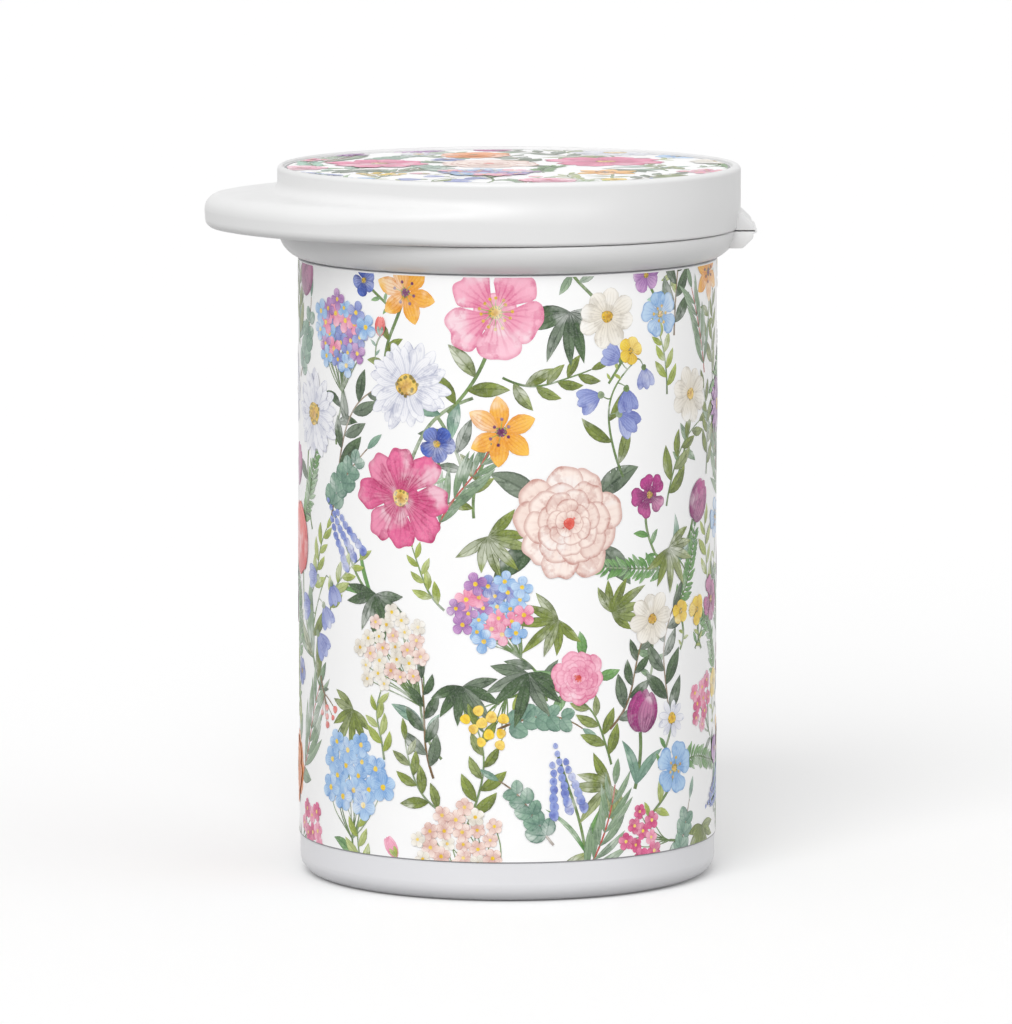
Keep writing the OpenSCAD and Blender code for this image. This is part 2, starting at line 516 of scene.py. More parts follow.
def wash_group() -> bpy.types.NodeTree:
    """Build the group for a watery ink: thin and thick patches, lines, rim and paper grain.

    Returns:
        The group.
    """
    tree, graph, given, made = node_group(
        "watery_ink",
        [("Wash", "Color", (0.5, 0.5, 0.5, 1)), ("Pigment", "Color", (0.2, 0.2, 0.2, 1)),
         ("Paper", "Color", (0.9, 0.9, 0.9, 1)), ("Lines", "Float", 0.0), ("Rim", "Float", 0.0)],
        [("Colour", "Color")],
    )
    place = graph.spot()
    pool = graph.ramp(graph.noise(place, Grain.POOL), 0.5, 0.61, 0.0, 0.4)
    patch = graph.ramp(graph.noise(place, Grain.PATCH), 0.52, 0.66, 0.0, 0.46)
    speckle = graph.ramp(graph.noise(place, Grain.SPECKLE), 0.45, 0.75, 0.0, 0.09)
    thick = graph.math("ADD", pool, given.outputs["Rim"])
    thick = graph.math("ADD", thick, given.outputs["Lines"], True)
    colour = graph.mix(thick, given.outputs["Wash"], given.outputs["Pigment"])
    thin = graph.math("MULTIPLY", patch, graph.math("SUBTRACT", 1.0, thick), True)
    colour = graph.mix(thin, colour, given.outputs["Paper"])
    graph.feed(made.inputs["Colour"], graph.mix(speckle, colour, given.outputs["Paper"]))
    return tree


class Groups:
    """The shared node groups, each built once."""

    def __init__(self) -> None:
        """Build every group."""
        self.moulding = moulding_group()
        self.film = film_group()
        self.wash = wash_group()


def blank_material(name: str) -> tuple[Material, Graph, bpy.types.Node]:
    """Make a material with a Principled BSDF.

    Args:
        name: The material's name.

    Returns:
        The material, its graph and the BSDF node.
    """
    skin = bpy.data.materials.new(name)
    skin.use_nodes = True
    return skin, Graph(skin.node_tree), skin.node_tree.nodes["Principled BSDF"]


def seen_rays(graph: Graph) -> Socket:
    """Mask the rays that see the ground: from the camera, in a gloss or through glass.

    Args:
        graph: The ground's graph.

    Returns:
        1 for such a ray.
    """
    path = graph.node("ShaderNodeLightPath")
    straight = graph.math("MAXIMUM", path.outputs["Is Camera Ray"], path.outputs["Is Glossy Ray"])
    return graph.math("MAXIMUM", straight, path.outputs["Is Transmission Ray"])


def add_group(graph: Graph, tree: bpy.types.NodeTree, **values: object) -> bpy.types.Node:
    """Place a group and feed its inputs.

    Args:
        graph: The material's graph.
        tree: The group.
        values: Its inputs by name.

    Returns:
        The group's node.
    """
    made = graph.node("ShaderNodeGroup", node_tree=tree)
    for name, value in values.items():
        graph.feed(made.inputs[name], value)
    return made


def add_bump(graph: Graph, bsdf: bpy.types.Node, height: Socket, strength: float,
             distance: float) -> None:
    """Feed a height to a BSDF's normal through a Bump node.

    Args:
        graph: The material's graph.
        bsdf: The BSDF.
        height: The height, from 0 to 1.
        strength: The bump's share of the normal.
        distance: Depth of the full height.
    """
    bump = graph.node("ShaderNodeBump")
    bump.inputs["Strength"].default_value = strength
    bump.inputs["Distance"].default_value = distance
    graph.feed(bump.inputs["Height"], height)
    graph.feed(bsdf.inputs["Normal"], bump.outputs["Normal"])


@dataclass(frozen=True)
class MouldedPlastic:
    """Injection-moulded plastic with a satin skin."""

    name: str
    colour: Colour
    dust: Colour
    roughness: float = 0.36
    bump: float = 0.25
    depth: float = 0.05 * MM
    ior: float = 1.49

    def material(self, groups: Groups) -> Material:
        """Build the plastic's material.

        Args:
            groups: The shared node groups.

        Returns:
            The material.
        """
        skin, graph, bsdf = blank_material(self.name)
        made = add_group(graph, groups.moulding, Colour=self.colour, Dust=self.dust,
                         Roughness=self.roughness)
        graph.feed(bsdf.inputs["Base Color"], made.outputs["Colour"])
        graph.feed(bsdf.inputs["Roughness"], made.outputs["Roughness"])
        bsdf.inputs["IOR"].default_value = self.ior
        add_bump(graph, bsdf, made.outputs["Height"], self.bump, self.depth)
        return skin


@dataclass(frozen=True)
class Foam:
    """Closed-cell foam with a pitted skin; the pits' hollows are darkened with painted shade."""

    name: str
    colour: Colour
    # Darker colour painted into the pits' hollows as shade.
    painted_pit_shade: Colour
    cell: float = 0.35 * MM
    bump: float = 0.4
    depth: float = 0.08 * MM

    def material(self) -> Material:
        """Build the foam's material.

        Returns:
            The material.
        """
        skin, graph, bsdf = blank_material(self.name)
        cells = graph.node("ShaderNodeTexVoronoi", feature="F1")
        graph.feed(cells.inputs["Vector"], graph.spot())
        cells.inputs["Scale"].default_value = 1 / self.cell
        pits = graph.ramp(cells.outputs["Distance"], 0.15, 0.6)
        # Painted shade: the recessed centres of the cells take the darker colour.
        graph.feed(bsdf.inputs["Base Color"], graph.mix(pits, self.painted_pit_shade, self.colour))
        graph.feed(bsdf.inputs["Roughness"], graph.ramp(pits, 0.0, 1.0, 0.9, 0.62))
        add_bump(graph, bsdf, pits, self.bump, self.depth)
        return skin


@dataclass(frozen=True)
class LabelFilm:
    """White label film with a thin grey line of painted shade along its cut edge, where that edge's shade
    line falls.

    The edge is a wrap's lower edge as a height, or a round label's rim as a radius.
    """

    name: str
    paper: Colour
    # Grey of the painted shade line along the cut edge.
    painted_edge_shade: Colour
    edge: float
    round_label: bool = False
    line: float = 0.14 * MM
    roughness: float = 0.3
    warm: Colour = srgb(246, 245, 243)
    warm_share: float = 0.6
    bump: float = 0.12
    depth: float = 0.05 * MM
    ior: float = 1.46

    def painted_edge_shade_mask(self, graph: Graph) -> Socket:
        """Mask the painted shade line along the cut edge.

        Args:
            graph: The material's graph.

        Returns:
            1 on the line.
        """
        split = graph.node("ShaderNodeSeparateXYZ")
        graph.feed(split.inputs[0], graph.spot())
        x, y, z = split.outputs
        soft = self.line / 4
        if not self.round_label:
            inner = self.edge + self.line
            return graph.ramp(z, inner, inner + soft, 1.0, 0.0)
        flat = graph.node("ShaderNodeCombineXYZ")
        graph.feed(flat.inputs[0], x)
        graph.feed(flat.inputs[1], y)
        reach = graph.node("ShaderNodeVectorMath", operation="LENGTH")
        graph.feed(reach.inputs[0], flat.outputs[0])
        inner = self.edge - self.line
        return graph.ramp(reach.outputs["Value"], inner - soft, inner)

    def material(self, groups: Groups) -> Material:
        """Build the film's material.

        Args:
            groups: The shared node groups.

        Returns:
            The material.
        """
        skin, graph, bsdf = blank_material(self.name)
        made = add_group(graph, groups.film, Roughness=self.roughness)
        warmth = graph.ramp(graph.noise(graph.spot(), Grain.PAPER_TONE), 0.3, 0.75, 0.0, 0.35)
        paper = graph.mix(warmth, self.paper, mixed(self.paper, self.warm, self.warm_share))
        # Painted shade: the paper darkens to the grey along the cut edge.
        graph.feed(bsdf.inputs["Base Color"], graph.mix(self.painted_edge_shade_mask(graph), paper, self.painted_edge_shade))
        graph.feed(bsdf.inputs["Roughness"], made.outputs["Roughness"])
        bsdf.inputs["IOR"].default_value = self.ior
        add_bump(graph, bsdf, made.outputs["Height"], self.bump, self.depth)
        return skin


class InkStyle(Enum):
    """How an ink's fine lines run, which is also its material slot on a print."""

    PETAL = 0
    LEAF = 1
    PLAIN = 2


@dataclass(frozen=True)
class PrintInk:
    """Watery ink on label film. Colours and line strengths come from the print's attributes."""

    name: str
    style: InkStyle
    paper: Colour
    roughness: float = 0.32
    waver: float = 2.6
    petal_lines: float = 17.0
    leaf_ribs: float = 34.0
    rib_lean: float = 6.5
    ior: float = 1.46

    def line_mask(self, graph: Graph, across: Socket, along: Socket) -> Socket:
        """Mask the style's veins.

        Args:
            graph: The material's graph.
            across: Place across the stroke, from -1 to 1.
            along: Place along the stroke, from 0 to 1.

        Returns:
            1 on a vein.
        """
        waver = graph.math("MULTIPLY", graph.noise(graph.spot(), Grain.WAVER), self.waver)
        side = graph.math("ABSOLUTE", across)
        if self.style is InkStyle.PETAL:
            rays = graph.math("MULTIPLY", across, self.petal_lines)
            rays = graph.math("SINE", graph.math("ADD", rays, waver))
            fade = graph.ramp(along, 0.25, 0.95, 1.0, 0.12)
            return graph.math("MULTIPLY", graph.ramp(rays, 0.1, 0.95), fade)
        if self.style is InkStyle.LEAF:
            lean = graph.math("MULTIPLY", side, self.rib_lean)
            ribs = graph.math("SUBTRACT", graph.math("MULTIPLY", along, self.leaf_ribs), lean)
            ribs = graph.ramp(graph.math("SINE", graph.math("ADD", ribs, waver)), 0.45, 1.0, 0.0, 0.6)
            middle = graph.ramp(side, 0.05, 0.16, 1.0, 0.0)
            half = graph.ramp(across, -0.05, 0.05, 0.0, 0.5)
            return graph.math("MAXIMUM", graph.math("MAXIMUM", ribs, middle), half)
        return graph.ramp(graph.noise(graph.spot(), Grain.MOTTLE), 0.45, 0.7, 0.0, 0.6)

    def material(self, groups: Groups) -> Material:
        """Build the ink's material.

        Args:
            groups: The shared node groups.

        Returns:
            The material.
        """
        skin, graph, bsdf = blank_material(self.name)
        wash = graph.node("ShaderNodeAttribute", attribute_name="wash")
        pigment = graph.node("ShaderNodeAttribute", attribute_name="pigment")
        place = graph.node("ShaderNodeAttribute", attribute_name="place")
        split = graph.node("ShaderNodeSeparateXYZ")
        graph.feed(split.inputs[0], place.outputs["Vector"])
        across, along, _ = split.outputs
        lines = graph.math("MULTIPLY", self.line_mask(graph, across, along), wash.outputs["Alpha"])
        edge = graph.ramp(graph.math("ABSOLUTE", across), 0.72, 1.0)
        tip = graph.ramp(along, 0.88, 1.0)
        rim = graph.math("MULTIPLY", graph.math("MAXIMUM", edge, tip), pigment.outputs["Alpha"])
        ink = add_group(graph, groups.wash, Wash=wash.outputs["Color"], Pigment=pigment.outputs["Color"],
                        Paper=self.paper, Lines=lines, Rim=rim)
        graph.feed(bsdf.inputs["Base Color"], ink.outputs["Colour"])
        film = add_group(graph, groups.film, Roughness=self.roughness)
        graph.feed(bsdf.inputs["Roughness"], film.outputs["Roughness"])
        bsdf.inputs["IOR"].default_value = self.ior
        return skin


# ---- sub-assemblies


@dataclass(frozen=True)
class Sizes:
    """Main sizes of the tub, read from the boxes of the frame's nodes."""

    body_r: float
    neck_r: float
    neck_z: float
    shoulder_z: float
    collar_r: float
    lip_z: float
    sifter_top_z: float
    sifter_deck_z: float
    lid_r: float
    lid_foot_z: float
    lid_top_z: float
    tab_tip_x: float
    liner_r: float
    liner_z: float
    panel_z: float
    body_label_r: float
    body_label_z: tuple[float, float]
    lid_label_r: float
    lid_label_z: tuple[float, float]
    hinge_x: float
    hinge_z: float

    @classmethod
    def read(cls) -> "Sizes":
        """Read every size from the frame's boxes and the record's joint.

        Returns:
            The sizes.
        """
        boxes = {name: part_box(name) for name in
                 ("tub", "closure_ring", "sifter", "lid", "lid_liner", "body_label", "lid_label")}
        joint = frame["joints"][0]
        return cls(
            body_r=boxes["tub"][1].y,
            neck_r=boxes["sifter"][1].y,
            neck_z=boxes["tub"][1].z,
            shoulder_z=boxes["closure_ring"][0].z,
            collar_r=boxes["closure_ring"][1].y,
            lip_z=boxes["closure_ring"][1].z,
            sifter_top_z=boxes["sifter"][1].z,
            sifter_deck_z=boxes["sifter"][0].z,
            lid_r=boxes["closure_ring"][1].y + COLLAR_INSET,
            lid_foot_z=boxes["lid"][0].z,
            lid_top_z=boxes["lid"][1].z,
            tab_tip_x=boxes["lid"][0].x,
            liner_r=boxes["lid_liner"][1].y,
            liner_z=boxes["lid_liner"][0].z,
            panel_z=boxes["lid_liner"][1].z,
            body_label_r=boxes["body_label"][1].y,
            body_label_z=(boxes["body_label"][0].z, boxes["body_label"][1].z),
            lid_label_r=boxes["lid_label"][1].y,
            lid_label_z=(boxes["lid_label"][0].z, boxes["lid_label"][1].z),
            hinge_x=joint["pos_m"][0],
            hinge_z=joint["pos_m"][2],
        )


@dataclass
class Tub:
    """The drawn pot: heel, hollow foot, straight wall and the thinner neck."""

    sizes: Sizes
    skin: MouldedPlastic
    wall: float = 1.8 * MM
    floor_z: float = 2.4 * MM
    hollow_h: float = 0.9 * MM
    hollow_r: float = 25.0 * MM
    foot_round: float = 2.6 * MM
    heel_round: float = 1.5 * MM
    stack_ring: tuple[float, ...] = (14.6 * MM, 14.4 * MM, 13.8 * MM, 13.6 * MM)
    stack_ring_h: float = 0.25 * MM
    gate: tuple[float, ...] = (2.6 * MM, 1.9 * MM, 0.8 * MM, 0.55 * MM)
    gate_h: float = 0.45 * MM
    scar_h: float = 0.1 * MM

    def profile(self) -> list[Vector]:
        """Draw the closed half profile, with a moulding gate and a stacking ring under the foot.

        Returns:
            Its points as (r, z).
        """
        s = self.sizes
        bore = s.body_r - self.wall
        low = self.hollow_h
        ring, ring_z = self.stack_ring, low + self.stack_ring_h
        gate, gate_z = self.gate, low + self.gate_h
        corners = [
            Corner(0, self.floor_z), Corner(bore, self.floor_z, self.heel_round),
            Corner(bore, s.neck_z, 0.2 * MM), Corner(s.neck_r, s.neck_z, 0.25 * MM),
            Corner(s.neck_r, s.shoulder_z, 0.2 * MM), Corner(s.body_r, s.shoulder_z, 0.35 * MM),
            Corner(s.body_r, 0, self.foot_round), Corner(self.hollow_r, 0, 0.4 * MM),
            Corner(self.hollow_r, low, 0.4 * MM),
            Corner(ring[0], low, 0.1 * MM), Corner(ring[1], ring_z, 0.1 * MM),
            Corner(ring[2], ring_z, 0.1 * MM), Corner(ring[3], low, 0.1 * MM),
            Corner(gate[0], low, 0.2 * MM), Corner(gate[1], gate_z, 0.2 * MM),
            Corner(gate[2], gate_z, 0.1 * MM), Corner(gate[3], low + self.scar_h, 0.15 * MM),
            Corner(0, low + self.scar_h),
        ]
        return rounded_path(corners, closed=False, steps=8)

    def build(self, groups: Groups) -> bpy.types.Object:
        """Build and dress the pot."""
        return piece("tub_shell", spun(self.profile(), closed=False),
                     [self.skin.material(groups)], "tub", ["tub"])


@dataclass
class HingeEar:
    """The beak that carries one end of the film hinge."""

    sizes: Sizes
    root_h: float = 2.4 * MM
    tip_h: float = 0.9 * MM
    width: float = HINGE_WIDTH
    gap: float = 0.15 * MM
    shelf: float = 0.1 * MM
    bevel: float = 0.3 * MM

    def build(self, root_x: float, flat_z: float, rise: int) -> BMesh:
        """Raise the ear across its width, its flat side towards the hinge line.

        Args:
            root_x: Where the ear starts, inside the part that carries it.
            flat_z: Height of the flat side.
            rise: 1 for an ear above its flat side, -1 for one below.

        Returns:
            The ear's mesh.
        """
        tip_x = self.sizes.hinge_x - self.gap
        far = flat_z + rise * self.root_h
        corners = [
            Corner(root_x, flat_z), Corner(tip_x, flat_z),
            Corner(tip_x, flat_z + rise * self.tip_h, 0.6 * MM),
            Corner(self.sizes.lid_r + self.shelf, far, 0.7 * MM), Corner(root_x, far),
        ]
        half = self.width / 2
        return prism(rounded_path(corners, steps=5), -half, half, self.bevel)


@dataclass
class ClosureRing:
    """The pressed-on ring: quarter-round collar, snap bead, upstand and inner lip."""

    sizes: Sizes
    skin: MouldedPlastic
    fit: float = 0.05 * MM
    upstand: float = 1.4 * MM
    collar_h: float = 4.1 * MM
    lip_reach: float = 1.65 * MM
    bead_out: float = 0.2 * MM
    bead_h: float = 0.7 * MM
    bead_drop: float = 0.3 * MM
    close_up: float = 0.08 * MM
    ear_root: float = 0.3 * MM
    arc_steps: int = 14

    def profile(self) -> list[Vector]:
        """Draw the closed half profile of the ring.

        Returns:
            Its points as (r, z).
        """
        s = self.sizes
        bore = s.neck_r + self.fit
        stand = bore + self.upstand
        deck_z = s.shoulder_z + self.collar_h
        top_z = deck_z + self.close_up
        lip_r = bore - self.lip_reach
        bead_r = stand + self.bead_out
        bead_top = s.lip_z - self.bead_drop
        bead_foot = bead_top - self.bead_h
        centre = s.collar_r - self.collar_h
        begin = math.acos((s.body_r - centre) / self.collar_h)
        corners = [
            Corner(bore, s.shoulder_z, 0.1 * MM),
            *(Corner(centre + self.collar_h * math.cos(a), deck_z - self.collar_h * math.sin(a))
              for a in (begin * (1 - step / self.arc_steps) for step in range(self.arc_steps))),
            Corner(s.collar_r, top_z, 0.2 * MM), Corner(stand, top_z, 0.25 * MM),
            Corner(stand, bead_foot, 0.08 * MM), Corner(bead_r, bead_foot + 0.15 * MM, 0.1 * MM),
            Corner(bead_r, bead_top, 0.1 * MM), Corner(stand, bead_top + 0.05 * MM, 0.04 * MM),
            Corner(stand, s.lip_z, 0.2 * MM), Corner(lip_r, s.lip_z, 0.35 * MM),
            Corner(lip_r, s.sifter_top_z, 0.2 * MM), Corner(bore, s.sifter_top_z, 0.1 * MM),
        ]
        return rounded_path(corners, steps=6)

    def build(self, groups: Groups) -> bpy.types.Object:
        """Build the ring with its hinge ear.

        Args:
            groups: The shared node groups.

        Returns:
            The piece.
        """
        bm = spun(self.profile())
        deck_z = self.sizes.shoulder_z + self.collar_h
        joined(bm, HingeEar(self.sizes).build(self.sizes.body_r - self.ear_root, deck_z, -1))
        return piece("closure_ring_moulding", bm, [self.skin.material(groups)],
                     "tub", ["closure_ring"])


@dataclass
class Sifter:
    """The pressed-in dish with its sprinkling holes."""

    sizes: Sizes
    skin: MouldedPlastic
    outer_r: float = 28.1 * MM
    wall: float = 0.8 * MM
    deck: float = 1.0 * MM
    hole_r: float = 0.8 * MM
    pitch: float = 4.5 * MM
    rings: int = 3
    soften: float = 0.15 * MM
    deck_segments: int = 120
    hole_segments: int = 28

    @staticmethod
    def holes_in(ring: int) -> int:
        """Return how many holes a ring has; ring 0 is the middle one."""
        return 6 * ring or 1

    def bowl(self) -> BMesh:
        """Spin the dish's wall and flange.

        Returns:
            Their mesh.
        """
        s = self.sizes
        inner = self.outer_r - self.wall
        corners = [
            Corner(inner, s.sifter_deck_z, 0.1 * MM), Corner(self.outer_r, s.sifter_deck_z, 0.3 * MM),
            Corner(self.outer_r, s.neck_z, 0.1 * MM), Corner(s.neck_r, s.neck_z, 0.1 * MM),
            Corner(s.neck_r, s.sifter_top_z, 0.1 * MM), Corner(inner, s.sifter_top_z, 0.3 * MM),
        ]
        return spun(rounded_path(corners, steps=4))

    def plate(self) -> BMesh:
        """Fill the deck round its holes, raise it and soften the holes' rims.

        Returns:
            The deck's mesh.
        """
        bm = bmesh.new()
        bmesh.ops.create_circle(bm, radius=self.outer_r - self.wall / 2, segments=self.deck_segments)
        for ring in range(self.rings + 1):
            for index in range(self.holes_in(ring)):
                angle = TURN * index / self.holes_in(ring)
                hole = bmesh.ops.create_circle(bm, radius=self.hole_r + self.soften,
                                               segments=self.hole_segments)
                shift = (ring * self.pitch * math.cos(angle), ring * self.pitch * math.sin(angle), 0)
                bmesh.ops.translate(bm, vec=shift, verts=hole["verts"])
        bmesh.ops.translate(bm, vec=(0, 0, self.sizes.sifter_deck_z + self.deck), verts=bm.verts)
        filled = bmesh.ops.triangle_fill(bm, use_beauty=True, use_dissolve=False, edges=bm.edges[:])
        faces = [item for item in filled["geom"] if isinstance(item, bmesh.types.BMFace)]
        rims = [edge for edge in bm.edges if edge.is_boundary]
        lower = self.rims(bm, rims, -self.soften, self.soften)
        lower = self.rims(bm, lower, -(self.deck - 2 * self.soften), 0.0)
        lower = self.rims(bm, lower, -self.soften, -self.soften)
        copied = bmesh.ops.duplicate(bm, geom=faces)
        verts = [item for item in copied["geom"] if isinstance(item, bmesh.types.BMVert)]
        bmesh.ops.translate(bm, vec=(0, 0, -self.deck), verts=verts)
        clean(bm)
        return bm

    def rims(self, bm: BMesh, rims: Sequence[bmesh.types.BMEdge], drop: float,
             narrow: float) -> list[bmesh.types.BMEdge]:
        """Extrude the holes' rims down and narrow or widen them.

        Args:
            bm: The deck's mesh.
            rims: The rims' edges.
            drop: Their move along Z.
            narrow: How much each hole's radius shrinks.

        Returns:
            The new rims' edges.
        """
        made = bmesh.ops.extrude_edge_only(bm, edges=rims)["geom"]
        for vert in (item for item in made if isinstance(item, bmesh.types.BMVert)):
            flat = Vector((vert.co.x, vert.co.y))
            ring = round(flat.length / self.pitch)
            count = self.holes_in(ring)
            turn = TURN * round(math.atan2(flat.y, flat.x) / TURN * count) / count
            centre = Vector((math.cos(turn), math.sin(turn))) * ring * self.pitch
            if ring <= self.rings:
                flat -= (flat - centre).normalized() * narrow
            vert.co = Vector((flat.x, flat.y, vert.co.z + drop))
        return [item for item in made if isinstance(item, bmesh.types.BMEdge)]

    def build(self, groups: Groups) -> bpy.types.Object:
        """Join the dish and its deck and dress them.

        Args:
            groups: The shared node groups.

        Returns:
            The piece.
        """
        bm = self.bowl()
        joined(bm, self.plate())
        return piece("sifter_insert", bm, [self.skin.material(groups)], "tub", ["sifter"])


@dataclass
class FilmHinge:
    """The thin film that joins the two ears and bends as the lid turns."""

    sizes: Sizes
    skin: MouldedPlastic
    width: float = HINGE_WIDTH
    inner_r: float = 0.1 * MM
    thickness: float = 0.295 * MM
    tail: float = 0.15 * MM
    steps: int = 16

    def bow(self, radius: float, way: int) -> list[Vector]:
        """Draw a half turn round the hinge line with a straight tail at each end.

        Args:
            radius: The bow's radius.
            way: 1 from its lower end to its upper end, -1 the other way.

        Returns:
            Its points in XZ.
        """
        x, z = self.sizes.hinge_x, self.sizes.hinge_z
        turns = [math.pi * step / self.steps - math.pi / 2 for step in range(self.steps + 1)][::way]
        arc = [Vector((x + radius * math.cos(a), z + radius * math.sin(a))) for a in turns]
        begin, end = (Vector((x - self.tail, z - side * radius)) for side in (way, -way))
        return [begin, *arc, end]

    def outline(self) -> list[Vector]:
        """Return the C-shaped section in XZ."""
        return self.bow(self.inner_r + self.thickness, 1) + self.bow(self.inner_r, -1)

    def build(self, groups: Groups) -> bpy.types.Object:
        """Build the film, which rides on neither body.

        Args:
            groups: The shared node groups.

        Returns:
            The piece.
        """
        half = self.width / 2
        bm = prism(self.outline(), -half, half, 0.0)
        made = piece("hinge_film", bm, [self.skin.material(groups)], None,
                     ["film_hinge"])
        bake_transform(made)
        return made


@dataclass
class Lid:
    """The snap lid with its recessed top and the flange that runs out to a thumb tab."""

    sizes: Sizes
    skin: MouldedPlastic
    flange: float = 5.1 * MM
    top_round: float = 0.65 * MM
    root_round: float = 1.4 * MM
    edge_round: float = 2.2 * MM
    heel_round: float = 1.3 * MM
    wall_back: float = 0.03 * MM
    ledge: float = 0.45 * MM
    ledge_fade: tuple[float, float] = (math.radians(106), math.radians(121))
    draft: float = 0.25 * MM
    least_fall: float = 0.5 * MM
    slump: float = 2.9 * MM
    slump_run: float = 0.6 * MM
    rim: float = 1.3 * MM
    recess: float = 0.5 * MM
    wall: float = 1.6 * MM
    groove_out: float = 0.7 * MM
    snap_top: float = 4.4 * MM
    snap_slope: float = 0.35 * MM
    tip_r: float = 21.0 * MM
    root_angle: float = math.radians(15)
    tab_wall: float = 1.6 * MM
    hollow_in: float = 0.1 * MM
    hollow_least: float = 0.25 * MM
    hollow_depth: float = 3.1 * MM
    hollow_soft: float = 0.5 * MM
    flat_foot: float = 0.9 * MM
    flat_step: float = 0.05 * MM
    ear_root: float = 1.2 * MM
    columns: int = 360
    side_centre: Vector = field(init=False)
    side_r: float = field(init=False)
    tip_x: float = field(init=False)
    switch: float = field(init=False)

    def __post_init__(self) -> None:
        """Work out the circles of the tab's outline, as the CAD does."""
        r = self.sizes.lid_r
        self.tip_x = self.sizes.tab_tip_x + self.tip_r
        lean = math.sin(self.root_angle)
        spare = r - self.tip_r
        shift = (self.tip_x ** 2 - spare ** 2) / (2 * (spare - self.tip_x * lean))
        self.side_r = r + shift
        self.side_centre = Vector((shift * lean, shift * math.cos(self.root_angle)))
        to_tip = (Vector((-self.tip_x, 0)) - self.side_centre).normalized()
        meet = self.side_centre + to_tip * self.side_r
        self.switch = math.atan2(abs(meet.y), meet.x)

    @staticmethod
    def reach(angle: float, centre: Vector, radius: float) -> float:
        """Return how far a ray from the axis runs to a circle round it."""
        along = centre.x * math.cos(angle) + centre.y * math.sin(angle)
        return along + math.sqrt(along ** 2 - centre.length_squared + radius ** 2)

    @staticmethod
    def off_tab(turn: float) -> float:
        """Return the angle from the tab's middle at a turn from +X."""
        return math.pi - abs((turn + math.pi) % TURN - math.pi)

    def outline_r(self, turn: float) -> float:
        """Work out the flange's outline.

        Args:
            turn: The turn from +X.

        Returns:
            The flange's radius there.
        """
        off_tab = self.off_tab(turn)
        if off_tab >= math.pi / 2 + self.root_angle:
            return self.sizes.lid_r
        mirrored = Vector((-self.tip_x, 0))
        if off_tab <= self.switch:
            return self.reach(off_tab, mirrored, self.tip_r)
        centre = Vector((self.side_centre.x, -self.side_centre.y))
        return max(self.reach(off_tab, centre, self.side_r), self.sizes.lid_r)

    def wall_r(self, turn: float) -> float:
        """Work out the upper wall, which is the flange's own on the hinge side.

        Args:
            turn: The turn from +X.

        Returns:
            The wall's radius there.
        """
        full, none = self.ledge_fade
        share = min(max((none - self.off_tab(turn)) / (none - full), 0.0), 1.0)
        back = self.wall_back + (self.ledge - self.wall_back) * share * share * (3 - 2 * share)
        return self.sizes.lid_r - back

    def section(self, turn: float) -> list[Vector]:
        """Draw the half profile at a turn, always with as many points.

        Args:
            turn: The turn from +X.

        Returns:
            Its points as (r, z).
        """
        s = self.sizes
        out = self.outline_r(turn)
        wall = self.wall_r(turn)
        over = out - wall
        groove = s.lid_r - self.wall
        snap = groove - self.groove_out
        recess_r = s.lid_r - self.rim
        recess_z = s.lid_top_z - self.recess
        flange_z = s.lid_foot_z + self.flange
        fall = self.least_fall + self.slump * self.slump_run / (over + self.slump_run)
        run = math.hypot(over, fall)
        crown, root = (wall, s.lid_top_z), (wall, flange_z + fall / 2)
        edge, foot = (out, flange_z - fall / 2), (out - self.draft, s.lid_foot_z)
        root_round = rounding(crown, root, edge, min(self.root_round, 0.45 * run))
        edge_round = rounding(root, edge, foot, min(self.edge_round, 0.5 * run))
        heel_round = min(self.heel_round, 0.35 * MM + 0.45 * over)
        snap_z = s.lid_foot_z + self.snap_top
        corners = [
            Corner(0, recess_z), Corner(recess_r, recess_z, 0.25 * MM),
            Corner(recess_r, s.lid_top_z, 0.3 * MM), Corner(*crown, self.top_round),
            Corner(*root, root_round), Corner(*edge, edge_round), Corner(*foot, heel_round),
            *self.hollow(turn),
            Corner(snap, s.lid_foot_z, 0.2 * MM), Corner(snap, snap_z, 0.12 * MM),
            Corner(groove, snap_z + self.snap_slope, 0.15 * MM), Corner(groove, s.panel_z, 0.3 * MM),
            Corner(0, s.panel_z),
        ]
        return rounded_path(corners, closed=False, steps=6)

    def hollow(self, turn: float) -> list[Corner]:
        """Draw the hollow under the tab, flat where there is none.

        Args:
            turn: The turn from +X.

        Returns:
            Its four corners.
        """
        s = self.sizes
        foot = s.lid_foot_z
        centre = Vector((self.tip_x, 0))
        off_tab = self.off_tab(turn)
        near = s.lid_r + self.hollow_in
        along = -centre.x * math.cos(off_tab)
        inside = along ** 2 - centre.length_squared + (self.tip_r - self.tab_wall) ** 2
        far = along + math.sqrt(inside) if inside > 0 and off_tab < math.pi / 2 else 0.0
        gap = far - near
        if gap <= self.hollow_least:
            mid = s.lid_r - self.flat_foot
            return [Corner(r, foot, 0.0) for r in (mid + self.flat_step, mid + self.flat_step, mid, mid)]
        deep = min(self.hollow_depth, 1.2 * gap)
        soft = min(self.hollow_soft, 0.2 * gap, 0.3 * deep)
        return [Corner(far, foot, soft * 0.6), Corner(far - 0.1 * deep, foot + deep, soft),
                Corner(near + 0.05 * deep, foot + deep, soft), Corner(near, foot, soft * 0.6)]

    def build(self, groups: Groups) -> bpy.types.Object:
        """Build the lid with its hinge ear.

        Args:
            groups: The shared node groups.

        Returns:
            The piece.
        """
        sections = [self.section(TURN * index / self.columns) for index in range(self.columns)]
        rows = len(sections[0]) - 1

        def at(around: float, along: float) -> Vector:
            """Give the point at a share of the way round and along the profile.

            Args:
                around: Share of the way round.
                along: Share along the profile.

            Returns:
                The point.
            """
            index = round(around * self.columns) % self.columns
            point = sections[index][round(along * rows)]
            turn = TURN * index / self.columns
            return Vector((point.x * math.cos(turn), point.x * math.sin(turn), point.y))

